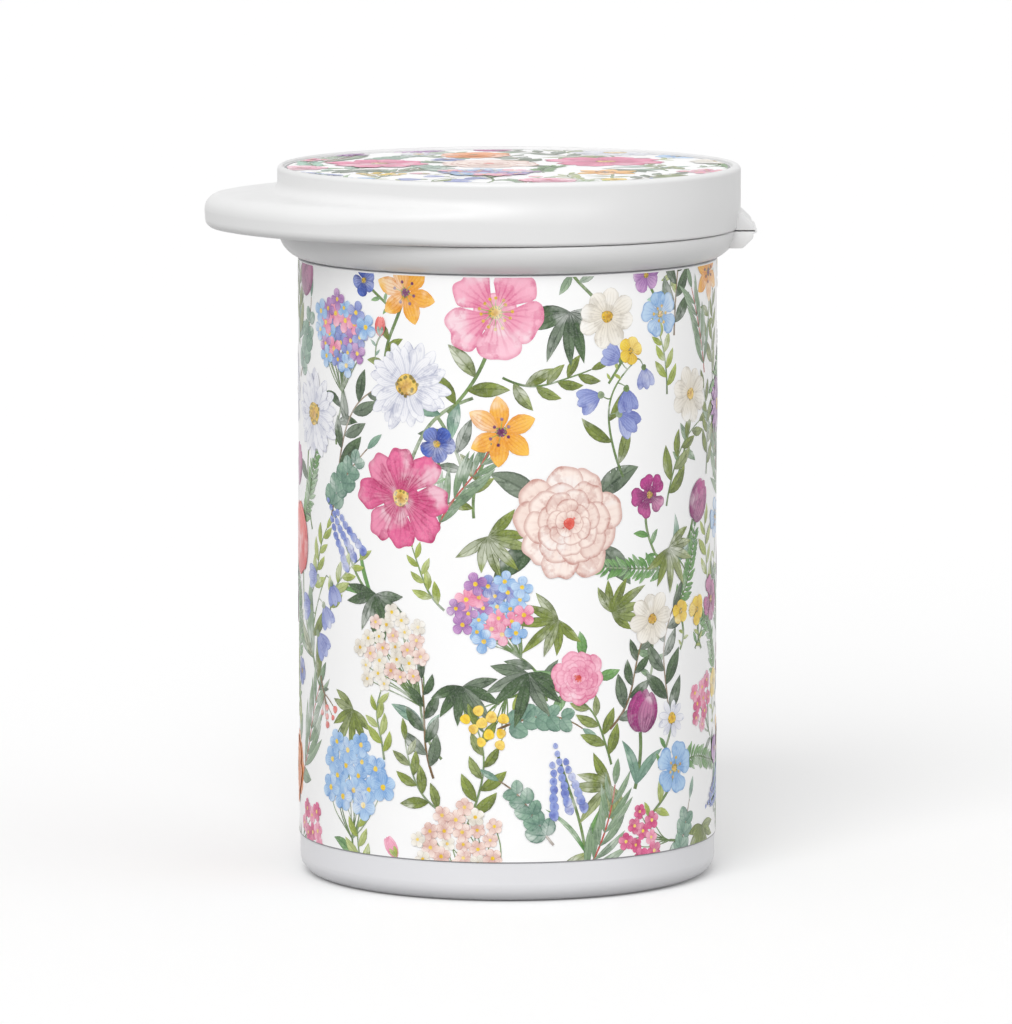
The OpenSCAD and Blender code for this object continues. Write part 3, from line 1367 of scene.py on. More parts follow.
        bm = surface(self.columns, rows, at)
        root_x = self.sizes.lid_r - self.ear_root
        joined(bm, HingeEar(self.sizes).build(root_x, self.sizes.lid_foot_z, 1))
        return piece("lid_moulding", bm, [self.skin.material(groups)], "lid", ["lid"])


@dataclass
class Liner:
    """The foam sealing disc under the lid's panel."""

    sizes: Sizes
    foam: Foam

    def build(self) -> bpy.types.Object:
        """Build and dress the disc.

        Returns:
            The piece.
        """
        s = self.sizes
        corners = [Corner(0, s.liner_z), Corner(s.liner_r, s.liner_z, 0.2 * MM),
                   Corner(s.liner_r, s.panel_z, 0.15 * MM), Corner(0, s.panel_z)]
        bm = spun(rounded_path(corners, closed=False))
        return piece("liner_disc", bm, [self.foam.material()], "lid", ["lid_liner"])


@dataclass
class Labels:
    """The two blank label films: the wrap and the lid's disc."""

    sizes: Sizes
    paper: Colour
    # Grey of the painted shade line along both labels' cut edges.
    painted_edge_shade: Colour
    seam: float = 0.25 * MM
    # Width of the painted shade line round the disc's rim.
    disc_line: float = 0.4 * MM
    wrap_rows: int = 6

    def wrap(self, groups: Groups) -> bpy.types.Object:
        """Build the body's wrap, with a butt seam at the back.

        Args:
            groups: The shared node groups.

        Returns:
            The piece.
        """
        s = self.sizes
        low, high = s.body_label_z
        # The wrap's lower edge gets the painted shade line.
        skin = LabelFilm("wrap_film", self.paper, self.painted_edge_shade, low)
        gap = self.seam / s.body_label_r

        def at(around: float, up: float) -> Vector:
            """Give the point at a share of the way round and up.

            Args:
                around: Share of the way round.
                up: Share of the height.

            Returns:
                The point.
            """
            turn = math.pi / 2 + gap / 2 + around * (TURN - gap)
            z = low + up * (high - low)
            return Vector((s.body_label_r * math.cos(turn), s.body_label_r * math.sin(turn), z))

        bm = surface(WALL_SEGMENTS, self.wrap_rows, at)
        thickness = s.body_label_r - s.body_r
        bmesh.ops.solidify(bm, geom=list(bm.faces), thickness=thickness)
        for vert in bm.verts:
            flat = Vector((vert.co.x, vert.co.y, 0))
            radius = s.body_label_r if flat.length > s.body_r + thickness / 2 else s.body_r
            flat = flat.normalized() * radius
            vert.co = Vector((flat.x, flat.y, min(max(vert.co.z, low), high)))
        bmesh.ops.recalc_face_normals(bm, faces=bm.faces)
        return piece("body_label_film", bm, [skin.material(groups)], "tub", ["body_label"])

    def disc(self, groups: Groups) -> bpy.types.Object:
        """Build the lid's disc.

        Args:
            groups: The shared node groups.

        Returns:
            The piece.
        """
        s = self.sizes
        low, high = s.lid_label_z
        # The disc's rim gets a wider painted shade line.
        skin = LabelFilm("disc_film", self.paper, self.painted_edge_shade, s.lid_label_r, round_label=True,
                         line=self.disc_line)
        corners = [Corner(0, low), Corner(s.lid_label_r, low), Corner(s.lid_label_r, high, 0.03 * MM),
                   Corner(0, high)]
        bm = spun(rounded_path(corners, closed=False, steps=3))
        return piece("lid_label_film", bm, [skin.material(groups)], "lid", ["lid_label"])


# ---- print
# Lengths are millimetres here, on the flat label: x along it, y up it.


@dataclass(frozen=True)
class Ink:
    """One stroke's colours, from its base to its tip, and how strong its lines and rim are."""

    base: Colour
    wash: Colour
    pigment: Colour
    lines: float = 0.45
    rim: float = 0.45
    style: InkStyle = InkStyle.PETAL

    def varied(self, rng: random.Random, spread: float = 0.18) -> "Ink":
        """Return the ink a little lighter or darker.

        Args:
            rng: The print's random numbers.
            spread: The largest change.

        Returns:
            The new ink.
        """
        shift = rng.uniform(-spread, spread)
        goal = (1.0, 1.0, 1.0, 1.0) if shift > 0 else self.pigment
        return Ink(mixed(self.base, goal, abs(shift)), mixed(self.wash, goal, abs(shift)), self.pigment,
                   self.lines, self.rim, self.style)


class Palette(Enum):
    """The print's inks."""

    HOT_PINK = Ink(srgb(188, 40, 104), srgb(236, 112, 160), srgb(176, 34, 96), 0.55, 0.5)
    ROSE = Ink(srgb(226, 110, 150), srgb(250, 186, 206), srgb(214, 92, 138), 0.5, 0.45)
    MAGENTA = Ink(srgb(120, 24, 96), srgb(190, 62, 142), srgb(104, 18, 84), 0.55, 0.5)
    CORAL = Ink(srgb(214, 62, 66), srgb(246, 122, 112), srgb(200, 48, 58), 0.5, 0.5)
    BLUSH = Ink(srgb(214, 164, 150), srgb(252, 234, 224), srgb(202, 152, 142), 0.42, 0.7)
    CREAM = Ink(srgb(226, 214, 190), srgb(252, 248, 240), srgb(198, 190, 176), 0.42, 0.6)
    WHITE = Ink(srgb(214, 216, 228), srgb(248, 248, 252), srgb(168, 172, 196), 0.4, 0.6)
    SKY = Ink(srgb(120, 166, 218), srgb(184, 214, 242), srgb(92, 144, 206), 0.45, 0.5)
    PERIWINKLE = Ink(srgb(100, 112, 186), srgb(164, 176, 224), srgb(82, 92, 170), 0.5, 0.5)
    BLUE = Ink(srgb(36, 56, 140), srgb(86, 116, 204), srgb(30, 44, 124), 0.55, 0.5)
    LAVENDER = Ink(srgb(140, 82, 158), srgb(208, 160, 210), srgb(124, 70, 146), 0.5, 0.5)
    ORANGE = Ink(srgb(214, 92, 28), srgb(246, 158, 66), srgb(206, 86, 26), 0.5, 0.5)
    AMBER = Ink(srgb(232, 138, 26), srgb(252, 200, 84), srgb(222, 132, 30), 0.5, 0.45)
    YELLOW = Ink(srgb(222, 176, 30), srgb(252, 224, 84), srgb(206, 158, 30), 0.4, 0.5)
    POLLEN = Ink(srgb(206, 150, 30), srgb(246, 206, 62), srgb(160, 104, 24), 0.7, 0.5, InkStyle.PLAIN)
    HEART = Ink(srgb(120, 96, 30), srgb(176, 160, 60), srgb(84, 66, 30), 0.8, 0.6, InkStyle.PLAIN)
    PLUM_DOT = Ink(srgb(96, 30, 80), srgb(130, 50, 110), srgb(70, 20, 60), 0.6, 0.4, InkStyle.PLAIN)
    BLUE_BEAD = Ink(srgb(98, 112, 190), srgb(150, 168, 224), srgb(72, 84, 168), 0.55, 0.6, InkStyle.PLAIN)
    YELLOW_BEAD = Ink(srgb(236, 190, 30), srgb(252, 222, 70), srgb(206, 150, 20), 0.5, 0.5, InkStyle.PLAIN)
    CORAL_BEAD = Ink(srgb(214, 66, 60), srgb(240, 112, 92), srgb(180, 40, 44), 0.5, 0.5, InkStyle.PLAIN)
    OLIVE = Ink(srgb(98, 114, 44), srgb(152, 168, 78), srgb(78, 92, 34), 0.6, 0.45, InkStyle.LEAF)
    FRESH = Ink(srgb(78, 130, 62), srgb(134, 182, 106), srgb(62, 108, 50), 0.6, 0.45, InkStyle.LEAF)
    DARK = Ink(srgb(48, 72, 44), srgb(94, 120, 80), srgb(38, 58, 36), 0.55, 0.45, InkStyle.LEAF)
    SAGE = Ink(srgb(96, 134, 116), srgb(154, 188, 164), srgb(78, 114, 100), 0.55, 0.45, InkStyle.LEAF)
    LIME = Ink(srgb(146, 162, 62), srgb(192, 206, 112), srgb(122, 138, 50), 0.55, 0.4, InkStyle.LEAF)
    MINT = Ink(srgb(140, 194, 166), srgb(190, 226, 208), srgb(112, 170, 146), 0.5, 0.4, InkStyle.LEAF)
    GREY_GREEN = Ink(srgb(106, 134, 102), srgb(154, 180, 142), srgb(84, 108, 84), 0.55, 0.45, InkStyle.LEAF)
    STEM = Ink(srgb(92, 120, 62), srgb(122, 150, 86), srgb(70, 92, 50), 0.5, 0.5, InkStyle.PLAIN)
    TWIG = Ink(srgb(120, 92, 58), srgb(150, 124, 84), srgb(92, 68, 42), 0.6, 0.5, InkStyle.PLAIN)
    RED_STEM = Ink(srgb(176, 70, 62), srgb(200, 100, 84), srgb(150, 52, 50), 0.5, 0.4, InkStyle.PLAIN)


@dataclass(frozen=True)
class Pose:
    """A place on the flat label and the way it faces; a turn of 0 faces up."""

    x: float = 0.0
    y: float = 0.0
    turn: float = 0.0

    def point(self, across: float, ahead: float) -> Point:
        """Return the flat point to the right of and ahead of the pose."""
        cos, sin = math.cos(self.turn), math.sin(self.turn)
        return self.x + across * cos - ahead * sin, self.y + across * sin + ahead * cos

    def moved(self, across: float, ahead: float, turn: float = 0.0) -> "Pose":
        """Return the pose after a move and a turn to the left."""
        x, y = self.point(across, ahead)
        return Pose(x, y, self.turn + turn)


@dataclass(frozen=True)
class Stroke:
    """One painted shape: a grid whose sides run across and along it."""

    shape: Shape
    ink: Ink
    width: float
    length: float
    columns: int
    rows: int
    dot: bool = False

    def grid(self) -> list[list[Point]]:
        """Return the flat points of every row of the stroke."""
        return [[self.shape(2 * column / self.columns - 1, row / self.rows)
                 for column in range(self.columns + 1)] for row in range(self.rows + 1)]


@dataclass
class Painter:
    """Collects strokes, greens below and blooms above."""

    rng: random.Random
    greens: list[Stroke] = field(default_factory=list)
    blooms: list[Stroke] = field(default_factory=list)

    def add(self, stroke: Stroke, green: bool) -> None:
        """Keep a stroke with the greens or with the blooms."""
        (self.greens if green else self.blooms).append(stroke)

    def blade(self, at: Pose, length: float, width: float, colour: Palette, full: float = 0.6,
              peak: float = 1.4, bend: float = 0.0, notch: float = 0.0, teeth: float = 0.0,
              green: bool = False) -> None:
        """Paint a petal or a leaf.

        Args:
            at: Its base and direction.
            length: Its length.
            width: Its full width.
            colour: Its ink.
            full: Roundness of its ends; 0.5 is round and 1.2 is pointed.
            peak: Above 1 the widest place moves towards the tip.
            bend: Turn of its midrib over its length.
            notch: Depth of the dent in a broad petal's tip, as a share of the length.
            teeth: Height of the waves along a broad petal's tip, as a share of the length.
            green: Whether it belongs below the blooms.
        """
        phase = self.rng.uniform(0, TURN)
        side = self.rng.uniform(-0.12, 0.12)
        spread = 0.62 * width / length

        def fan(across: float, along: float) -> Point:
            """Give a point of a broad petal.

            Args:
                across: Share across, -1 to 1.
                along: Share along, 0 to 1.

            Returns:
                The flat point.
            """
            dent = notch * math.exp(-(across / 0.25) ** 2)
            wave = teeth * math.sin(8.5 * across + phase)
            rim = 0.66 + 0.34 * max(math.cos(across * math.pi / 2), 0.0) ** full
            rim *= 1 + side * across - dent + wave
            angle = across * spread * (0.86 + 0.14 * along)
            reach = length * along * rim
            return at.point(reach * math.sin(angle), reach * math.cos(angle))

        def shape(across: float, along: float) -> Point:
            """Give a point of a leaf or a narrow petal.

            Args:
                across: Share across, -1 to 1.
                along: Share along, 0 to 1.

            Returns:
                The flat point.
            """
            share = 0.5 - 0.5 * math.cos(math.pi * along)
            half = width / 2 * max(math.sin(math.pi * min(share, 0.99999) ** peak), 0.0) ** full
            half *= 1 + side * across
            ahead = length * share
            angle = bend * ahead / length
            if abs(bend) > STRAIGHT:
                mid = (-(1 - math.cos(angle)) * length / bend, math.sin(angle) * length / bend)
            else:
                mid = (0.0, ahead)
            reach = across * half
            return at.point(mid[0] + reach * math.cos(angle), mid[1] + reach * math.sin(angle))

        broad = notch > 0 or teeth > 0
        columns = max(4, min(14, 2 * round(width / 1.1))) * (2 if broad else 1)
        rows = max(7, min(20, round(length / 0.55)))
        tinted = colour.value.varied(self.rng)
        self.add(Stroke(fan if broad else shape, tinted, width, length, columns, rows), green)

    def ribbon(self, start: Pose, end: Point, width: float, colour: Palette, bow: float = 0.0,
               thin: float = 0.6, green: bool = True) -> Callable[[float], Pose]:
        """Paint a stem from a pose to a point.

        Args:
            start: Where the stem starts.
            end: Where it ends.
            width: Its width at the start.
            colour: Its ink.
            bow: How far its middle bows to the left, as a share of its length.
            thin: Width at the end as a share of the start's.
            green: Whether it belongs below the blooms.

        Returns:
            A function that gives the pose at a share of the stem.
        """
        run = Vector((end[0] - start.x, end[1] - start.y))
        length = max(run.length, 0.01)
        left = Vector((-run.y, run.x)) / length
        sway = self.rng.uniform(-0.03, 0.03)

        def on(share: float) -> Pose:
            """Give the pose at a share of the stem.

            Args:
                share: Share of the stem, 0 to 1.

            Returns:
                The pose.
            """
            lift = 4 * bow * share * (1 - share) + sway * math.sin(TURN * share)
            slope = 4 * bow * (1 - 2 * share) + sway * TURN * math.cos(TURN * share)
            place = Vector((start.x, start.y)) + run * share + left * lift * length
            heading = run / length + left * slope
            return Pose(place.x, place.y, math.atan2(-heading.x, heading.y))

        def shape(across: float, along: float) -> Point:
            """Give a flat point of the stem."""
            return on(along).point(across * width / 2 * (1 + (thin - 1) * along), 0.0)

        rows = max(4, min(60, round(length / 0.5)))
        self.add(Stroke(shape, colour.value.varied(self.rng), width, length, 2, rows), green)
        return on

    def dot(self, x: float, y: float, radius: float, colour: Palette, squash: float = 1.0,
            turn: float = 0.0) -> None:
        """Paint a dot, a bead or a flower's heart.

        Args:
            x: Place along the label.
            y: Place up the label.
            radius: Its radius.
            colour: Its ink.
            squash: Its height as a share of its width.
            turn: Its turn to the left.
        """
        at = Pose(x, y, turn)
        wobble = self.rng.uniform(0, TURN)

        def shape(across: float, along: float) -> Point:
            """Give a point of the dot.

            Args:
                across: Share of the way round, -1 to 1.
                along: Share of the way out, 0 to 1.

            Returns:
                The flat point.
            """
            angle = math.pi * across
            reach = radius * along * (1 + 0.06 * math.sin(3 * angle + wobble))
            return at.point(reach * math.cos(angle), reach * squash * math.sin(angle))

        rows = 2 if radius < 0.8 else max(3, round(radius / 0.5))
        columns = 10 if radius < 0.5 else 18
        side = 2.4 * radius
        self.add(Stroke(shape, colour.value.varied(self.rng), side, side, columns, rows, dot=True), False)

    def dots(self, x: float, y: float, inner: float, outer: float, count: int, radius: float,
             colour: Palette) -> None:
        """Scatter small dots in a ring.

        Args:
            x: Centre along the label.
            y: Centre up the label.
            inner: The ring's inner radius.
            outer: The ring's outer radius.
            count: How many dots.
            radius: Their mean radius.
            colour: Their ink.
        """
        for index in range(count):
            angle = TURN * (index + self.rng.uniform(-0.3, 0.3)) / count
            reach = self.rng.uniform(inner, outer)
            self.dot(x + reach * math.cos(angle), y + reach * math.sin(angle),
                     radius * self.rng.uniform(0.7, 1.2), colour)

    def leafy(self, on: Callable[[float], Pose], shares: Sequence[float], length: float, width: float,
              colour: Palette, lean: float = 0.8, full: float = 0.95, pairs: bool = False) -> None:
        """Set leaves along a stem.

        Args:
            on: The stem's function.
            shares: Where the leaves sit.
            length: The longest leaf.
            width: The widest leaf.
            colour: Their ink.
            lean: Their turn away from the stem.
            full: Roundness of their ends.
            pairs: Whether they sit in pairs.
        """
        for index, share in enumerate(shares):
            sides = (1, -1) if pairs else ((1,) if index % 2 else (-1,))
            for way in sides:
                size = (1.0 - 0.35 * share) * self.rng.uniform(0.85, 1.1)
                at = on(share).moved(0, 0, way * lean * self.rng.uniform(0.85, 1.15))
                self.blade(at, length * size, width * size, colour, full=full, peak=0.9,
                           bend=-way * self.rng.uniform(0.1, 0.7), green=True)


class Motif:
    """A drawn plant with its head at a pose; a radius of 1 is one millimetre."""

    def draw(self, painter: Painter, at: Pose, radius: float) -> None:
        """Paint the plant.

        Args:
            painter: Takes the strokes.
            at: The head's place and direction.
            radius: The head's radius.
        """
        raise NotImplementedError


@dataclass(frozen=True)
class RayFlower(Motif):
    """A flower whose petals stand in rings round a heart: daisies, cosmos, asters, stars and blossoms."""

    colour: Palette
    petals: int
    width: float
    full: float = 0.6
    peak: float = 1.5
    notch: float = 0.0
    teeth: float = 0.0
    rings: tuple[float, ...] = (1.0,)
    heart: float = 0.22
    heart_ink: Palette = Palette.POLLEN
    stamens: int = 0
    leaf: Palette = Palette.FRESH
    tilt: float = 0.86

    def draw(self, painter: Painter, at: Pose, radius: float) -> None:
        """Paint the stem and leaves, the petals and the heart.

        Args:
            painter: Takes the strokes.
            at: The head's place and direction.
            radius: The head's radius.
        """
        rng = painter.rng
        self.stalk(painter, at, radius)
        squash = rng.uniform(self.tilt, 1.0)
        core = self.heart * radius
        inner = core * 0.4
        if self.notch or self.teeth:
            painter.dot(at.x, at.y, radius * 0.4, self.colour, squash)
        for ring, size in enumerate(self.rings):
            order = list(range(self.petals))
            rng.shuffle(order)
            for index in order:
                angle = TURN * (index + 0.5 * ring + rng.uniform(-0.12, 0.12)) / self.petals
                tilted = squash + (1 - squash) * abs(math.sin(angle))
                reach = radius * size * rng.uniform(0.92, 1.06) * tilted
                painter.blade(at.moved(0, 0, angle).moved(0, inner), reach - inner,
                              self.width * radius * size, self.colour, full=self.full,
                              peak=self.peak, notch=self.notch, teeth=self.teeth,
                              bend=rng.uniform(-0.28, 0.28))
        painter.dot(at.x, at.y, core, self.heart_ink, squash)
        painter.dots(at.x, at.y, core * 0.55, core * 1.02, max(8, round(core * 9)),
                     max(0.13, core * 0.14), Palette.HEART)
        for index in range(self.stamens):
            out = at.moved(0, 0, TURN * (index + rng.uniform(-0.2, 0.2)) / self.stamens)
            tip = out.point(0, core * rng.uniform(1.6, 2.5))
            painter.ribbon(Pose(*out.point(0, core * 0.7)), tip, 0.13, Palette.LIME, green=False)
            painter.dot(tip[0], tip[1], 0.24, self.heart_ink)

    def stalk(self, painter: Painter, at: Pose, radius: float) -> None:
        """Paint the stem behind the head, with a few leaves.

        Args:
            painter: Takes the strokes.
            at: The head's place and direction.
            radius: The head's radius.
        """
        rng = painter.rng
        down = at.moved(0, 0, rng.uniform(-0.5, 0.5))
        end = down.point(rng.uniform(-2, 2), -radius * rng.uniform(1.7, 2.2) - 2)
        on = painter.ribbon(at, end, 0.42 + 0.02 * radius, Palette.STEM,
                            rng.uniform(-0.16, 0.16), 0.8)
        painter.leafy(on, (0.6, 0.74, 0.9), radius, radius * 0.36, self.leaf, lean=2.2)


@dataclass(frozen=True)
class Rosette(Motif):
    """A full round flower of many cupped petals, in rings of a number and a size."""

    colour: Palette
    heart_ink: Palette
    leaf: Palette = Palette.DARK
    leaves: int = 4
    rings: tuple[tuple[int, float], ...] = ((9, 1.0), (8, 0.8), (7, 0.61), (6, 0.43), (4, 0.27))

    def draw(self, painter: Painter, at: Pose, radius: float) -> None:
        """Paint the leaves behind, then rings of petals that get smaller.

        Args:
            painter: Takes the strokes.
            at: The head's place and direction.
            radius: The head's radius.
        """
        rng = painter.rng
        start = rng.uniform(0, TURN)
        for index in range(self.leaves):
            angle = start + TURN * index / self.leaves + rng.uniform(-0.4, 0.4)
            away = at.moved(0, 0, angle).moved(0, radius * 0.7)
            painter.blade(away, radius * 0.95, radius * 0.4, self.leaf, full=0.9, peak=0.85,
                          bend=rng.uniform(-0.6, 0.6), green=True)
        for count, size in self.rings:
            start = rng.uniform(0, TURN)
            for index in range(count):
                angle = start + TURN * (index + rng.uniform(-0.15, 0.15)) / count
                base = at.moved(0, 0, angle).moved(0, radius * size * 0.1)
                length = radius * size * rng.uniform(0.82, 0.95)
                width = radius * size * 1.9 * math.sin(math.pi / count) * 1.25
                painter.blade(base, length, width, self.colour, full=0.6,
                              notch=rng.uniform(0.0, 0.07), teeth=0.012)
        painter.dot(at.x, at.y, radius * 0.1, self.heart_ink)
        painter.dots(at.x, at.y, radius * 0.04, radius * 0.13, 7, 0.16, self.heart_ink)


@dataclass(frozen=True)
class Tulip(Motif):
    """A cup of pointed petals, each with its place, turn and size, on a stem with two long leaves."""

    colour: Palette
    leaf: Palette = Palette.GREY_GREEN
    cup: tuple[tuple[float, float, float], ...] = (
        (-0.3, 0.3, 0.95), (0.3, -0.3, 0.95), (0, 0, 1.0), (-0.2, 0.12, 0.9), (0.24, -0.14, 0.86))

    def draw(self, painter: Painter, at: Pose, radius: float) -> None:
        """Paint the stem, the leaves and the cup.

        Args:
            painter: Takes the strokes.
            at: The head's place and direction.
            radius: The head's radius.
        """
        rng = painter.rng
        foot = at.moved(0, -0.8 * radius)
        end = foot.point(rng.uniform(-1.5, 1.5), -radius * 2.4)
        on = painter.ribbon(foot, end, 0.6, Palette.STEM, rng.uniform(-0.1, 0.1), 1.0)
        for way in (1, -1):
            base = on(0.92).moved(0, 0, math.pi + way * rng.uniform(0.2, 0.4))
            painter.blade(base, radius * 2.1, radius * 0.5, self.leaf, full=0.95, peak=0.8,
                          bend=way * rng.uniform(0.2, 0.9), green=True)
        for across, turn, size in self.cup:
            base = foot.moved(across * radius * 0.6, 0, turn)
            painter.blade(base, 1.85 * radius * size, 0.95 * radius, self.colour, full=0.66,
                          peak=0.95, bend=-turn * 1.5)


@dataclass(frozen=True)
class BeadSpike(Motif):
    """A short cone of beads on a stem with blades."""

    bead: Palette
    leaf: Palette = Palette.FRESH
    rows: int = 9

    def draw(self, painter: Painter, at: Pose, radius: float) -> None:
        """Paint the stem, the blades and the beads.

        Args:
            painter: Takes the strokes.
            at: The head's place and direction.
            radius: The head's radius.
        """
        rng = painter.rng
        foot = at.moved(0, -radius)
        end = foot.point(rng.uniform(-2, 2), -radius * 1.5)
        on = painter.ribbon(at.moved(0, radius * 0.8), end, 0.4, Palette.STEM,
                            rng.uniform(-0.06, 0.06), 1.1)
        for way in (1, -1):
            painter.blade(on(0.98).moved(0, 0, math.pi + way * 0.3), radius * 1.9, 0.75, self.leaf,
                          full=0.8, peak=0.8, bend=way * 0.6, green=True)
        for row in range(self.rows):
            share = row / (self.rows - 1)
            wide = radius * 0.42 * (1 - share) ** 0.7 + 0.18
            for index in (-1, 0, 1) if share < 0.8 else (0,):
                across = index * wide + rng.uniform(-0.15, 0.15)
                x, y = at.point(across, -radius + 2 * radius * share - abs(index) * 0.25)
                painter.dot(x, y, (0.62 - 0.3 * share) * radius / 4.2, self.bead, 1.2, at.turn)


@dataclass(frozen=True)
class Cluster(Motif):
    """A loose head of many small flowers or beads on branching stalks."""

    colours: tuple[Palette, ...]
    count: int = 11
    petals: int = 5
    floret: float = 0.28
    beads: bool = False
    leaf: Palette = Palette.SAGE
    stem: Palette = Palette.STEM

    def draw(self, painter: Painter, at: Pose, radius: float) -> None:
        """Paint the stalks from one fork, and a floret on each.

        Args:
            painter: Takes the strokes.
            at: The head's place and direction.
            radius: The head's radius.
        """
        rng = painter.rng
        fork = at.moved(0, -radius * 1.25)
        end = fork.point(rng.uniform(-2, 2), -radius * 1.1)
        on = painter.ribbon(fork, end, 0.38, self.stem, rng.uniform(-0.12, 0.12), 1.1)
        painter.leafy(on, (0.3, 0.6), radius * 0.8, radius * 0.26, self.leaf, lean=2.3)
        for index in range(self.count):
            angle = GOLDEN_ANGLE * index
            reach = radius * 0.86 * math.sqrt((index + 0.5) / self.count)
            x, y = at.point(reach * math.cos(angle), reach * 0.85 * math.sin(angle))
            painter.ribbon(fork, (x, y), 0.2, self.stem, rng.uniform(-0.12, 0.12), 0.7)
            size = radius * self.floret * rng.uniform(0.86, 1.12)
            colour = rng.choice(self.colours)
            if self.beads:
                painter.dot(x, y, size * 0.7, colour, rng.uniform(0.85, 1.1), rng.uniform(0, 3))
                continue
            start = rng.uniform(0, TURN)
            for petal in range(self.petals):
                base = Pose(x, y, start + TURN * petal / self.petals)
                painter.blade(base, size, size * 0.86, colour, full=0.5, peak=1.5)
            painter.dot(x, y, size * 0.2, Palette.YELLOW_BEAD)


@dataclass(frozen=True)
class Bells(Motif):
    """Nodding bells along an arching stem."""

    colour: Palette
    leaf: Palette = Palette.OLIVE
    necks: tuple[float, ...] = (0.5, 0.64, 0.78, 0.9, 1.0)

    def draw(self, painter: Painter, at: Pose, radius: float) -> None:
        """Paint the arching stem and its bells.

        Args:
            painter: Takes the strokes.
            at: The head's place and direction.
            radius: The head's radius.
        """
        rng = painter.rng
        foot = at.moved(0, -radius * 1.1)
        on = painter.ribbon(foot, at.point(radius * 0.5, radius), 0.42, Palette.STEM, 0.22, 0.5)
        painter.leafy(on, (0.1, 0.28, 0.45), radius * 0.9, radius * 0.26, self.leaf, lean=0.9)
        for index, share in enumerate(self.necks):
            way = 1 if index % 2 else -1
            neck = on(share)
            out = neck.moved(0, 0, way * 1.5).point(0, radius * 0.22)
            painter.ribbon(neck, out, 0.2, Palette.STEM, 0.1)
            hang = Pose(out[0], out[1], neck.turn + way * rng.uniform(1.9, 2.4))
            size = radius * (0.62 - 0.2 * share)
            for turn in (0.42, -0.42, 0.0):
                painter.blade(hang.moved(0, 0, turn * 0.6), size, size * 0.5, self.colour,
                              full=0.55, peak=1.25, bend=turn)
            painter.dot(out[0], out[1], size * 0.14, Palette.STEM)


@dataclass(frozen=True)
class Leafing:
    """How leaves sit along a sprig; places are shares of its stem, sizes shares of its radius."""

    first: float
    pitch: float
    count: int
    length: float
    width: float
    lean: float = 0.8
    full: float = 0.95
    pairs: bool = True


class SprigForm(Enum):
    """The forms of a sprig; a splay has no stem to set leaves along."""

    ALTERNATE = Leafing(0.12, 0.12, 7, 0.72, 0.27, pairs=False)
    WILLOW = Leafing(0.1, 0.14, 6, 1.0, 0.17, lean=0.55)
    FERN = Leafing(0.08, 0.06, 15, 0.42, 0.12, lean=1.0, full=0.7)
    ROUND = Leafing(0.15, 0.15, 5, 0.46, 0.4, lean=0.9, full=0.55)
    SPLAY = None


@dataclass(frozen=True)
class Sprig(Motif):
    """A leafy sprig that fills a gap."""

    form: SprigForm
    leaf: Palette
    stem: Palette = Palette.STEM

    def draw(self, painter: Painter, at: Pose, radius: float) -> None:
        """Paint the stem, its leaves by the sprig's form and the leaf at its end.

        Args:
            painter: Takes the strokes.
            at: The head's place and direction.
            radius: The head's radius.
        """
        if self.form is SprigForm.SPLAY:
            self.splay(painter, at, radius)
            return
        how = self.form.value
        on = painter.ribbon(at.moved(0, -radius), at.point(0, radius * 0.9), 0.36, self.stem,
                            painter.rng.uniform(-0.16, 0.16), 0.5)
        shares = [how.first + how.pitch * index for index in range(how.count)]
        painter.leafy(on, shares, radius * how.length, radius * how.width, self.leaf, how.lean,
                      how.full, how.pairs)
        painter.blade(on(1.0), radius * 0.5, radius * 0.16, self.leaf, full=0.9, peak=0.9, green=True)

    def splay(self, painter: Painter, at: Pose, radius: float) -> None:
        """Paint seven blades that splay from one foot.

        Args:
            painter: Takes the strokes.
            at: The head's place and direction.
            radius: The head's radius.
        """
        rng = painter.rng
        end = at.point(rng.uniform(-2, 2), -radius)
        on = painter.ribbon(at.moved(0, -radius * 0.2), end, 0.36, self.stem)
        for step in (-3, 3, -2, 2, -1, 1, 0):
            length = radius * rng.uniform(0.9, 1.15) * (1.1 - 0.1 * abs(step))
            painter.blade(on(0.0).moved(0, 0, 0.5 * step), length, radius * 0.25, self.leaf,
                          full=1.0, peak=0.95, bend=rng.uniform(-0.4, 0.4), green=True)


@dataclass(frozen=True)
class Bud(Motif):
    """A closed bud with two sepals on a thin stem."""

    colour: Palette
    leaf: Palette = Palette.LIME

    def draw(self, painter: Painter, at: Pose, radius: float) -> None:
        """Paint the stem, a leaf, the bud and its sepals.

        Args:
            painter: Takes the strokes.
            at: The head's place and direction.
            radius: The head's radius.
        """
        rng = painter.rng
        foot = at.moved(0, -radius * 0.7)
        on = painter.ribbon(foot, foot.point(rng.uniform(-1, 1), -radius * 2.2), 0.3, Palette.STEM,
                            rng.uniform(-0.2, 0.2))
        painter.leafy(on, (0.45, 0.8), radius * 1.1, radius * 0.36, self.leaf, lean=2.3)
        for turn in (0.25, -0.25, 0.0):
            painter.blade(foot.moved(0, 0, turn), radius * 1.7, radius * 0.75, self.colour,
                          full=0.6, peak=0.9, bend=-turn)
        for turn in (0.5, -0.5):
            painter.blade(foot.moved(0, 0, turn), radius * 0.9, radius * 0.34, self.leaf,
                          full=0.8, bend=-turn)


@dataclass(frozen=True)
class Kind:
    """One motif of the print with the sizes it comes in and how often."""

    motif: Motif
    low: float
    high: float
    share: int
    hold: float = 1.0


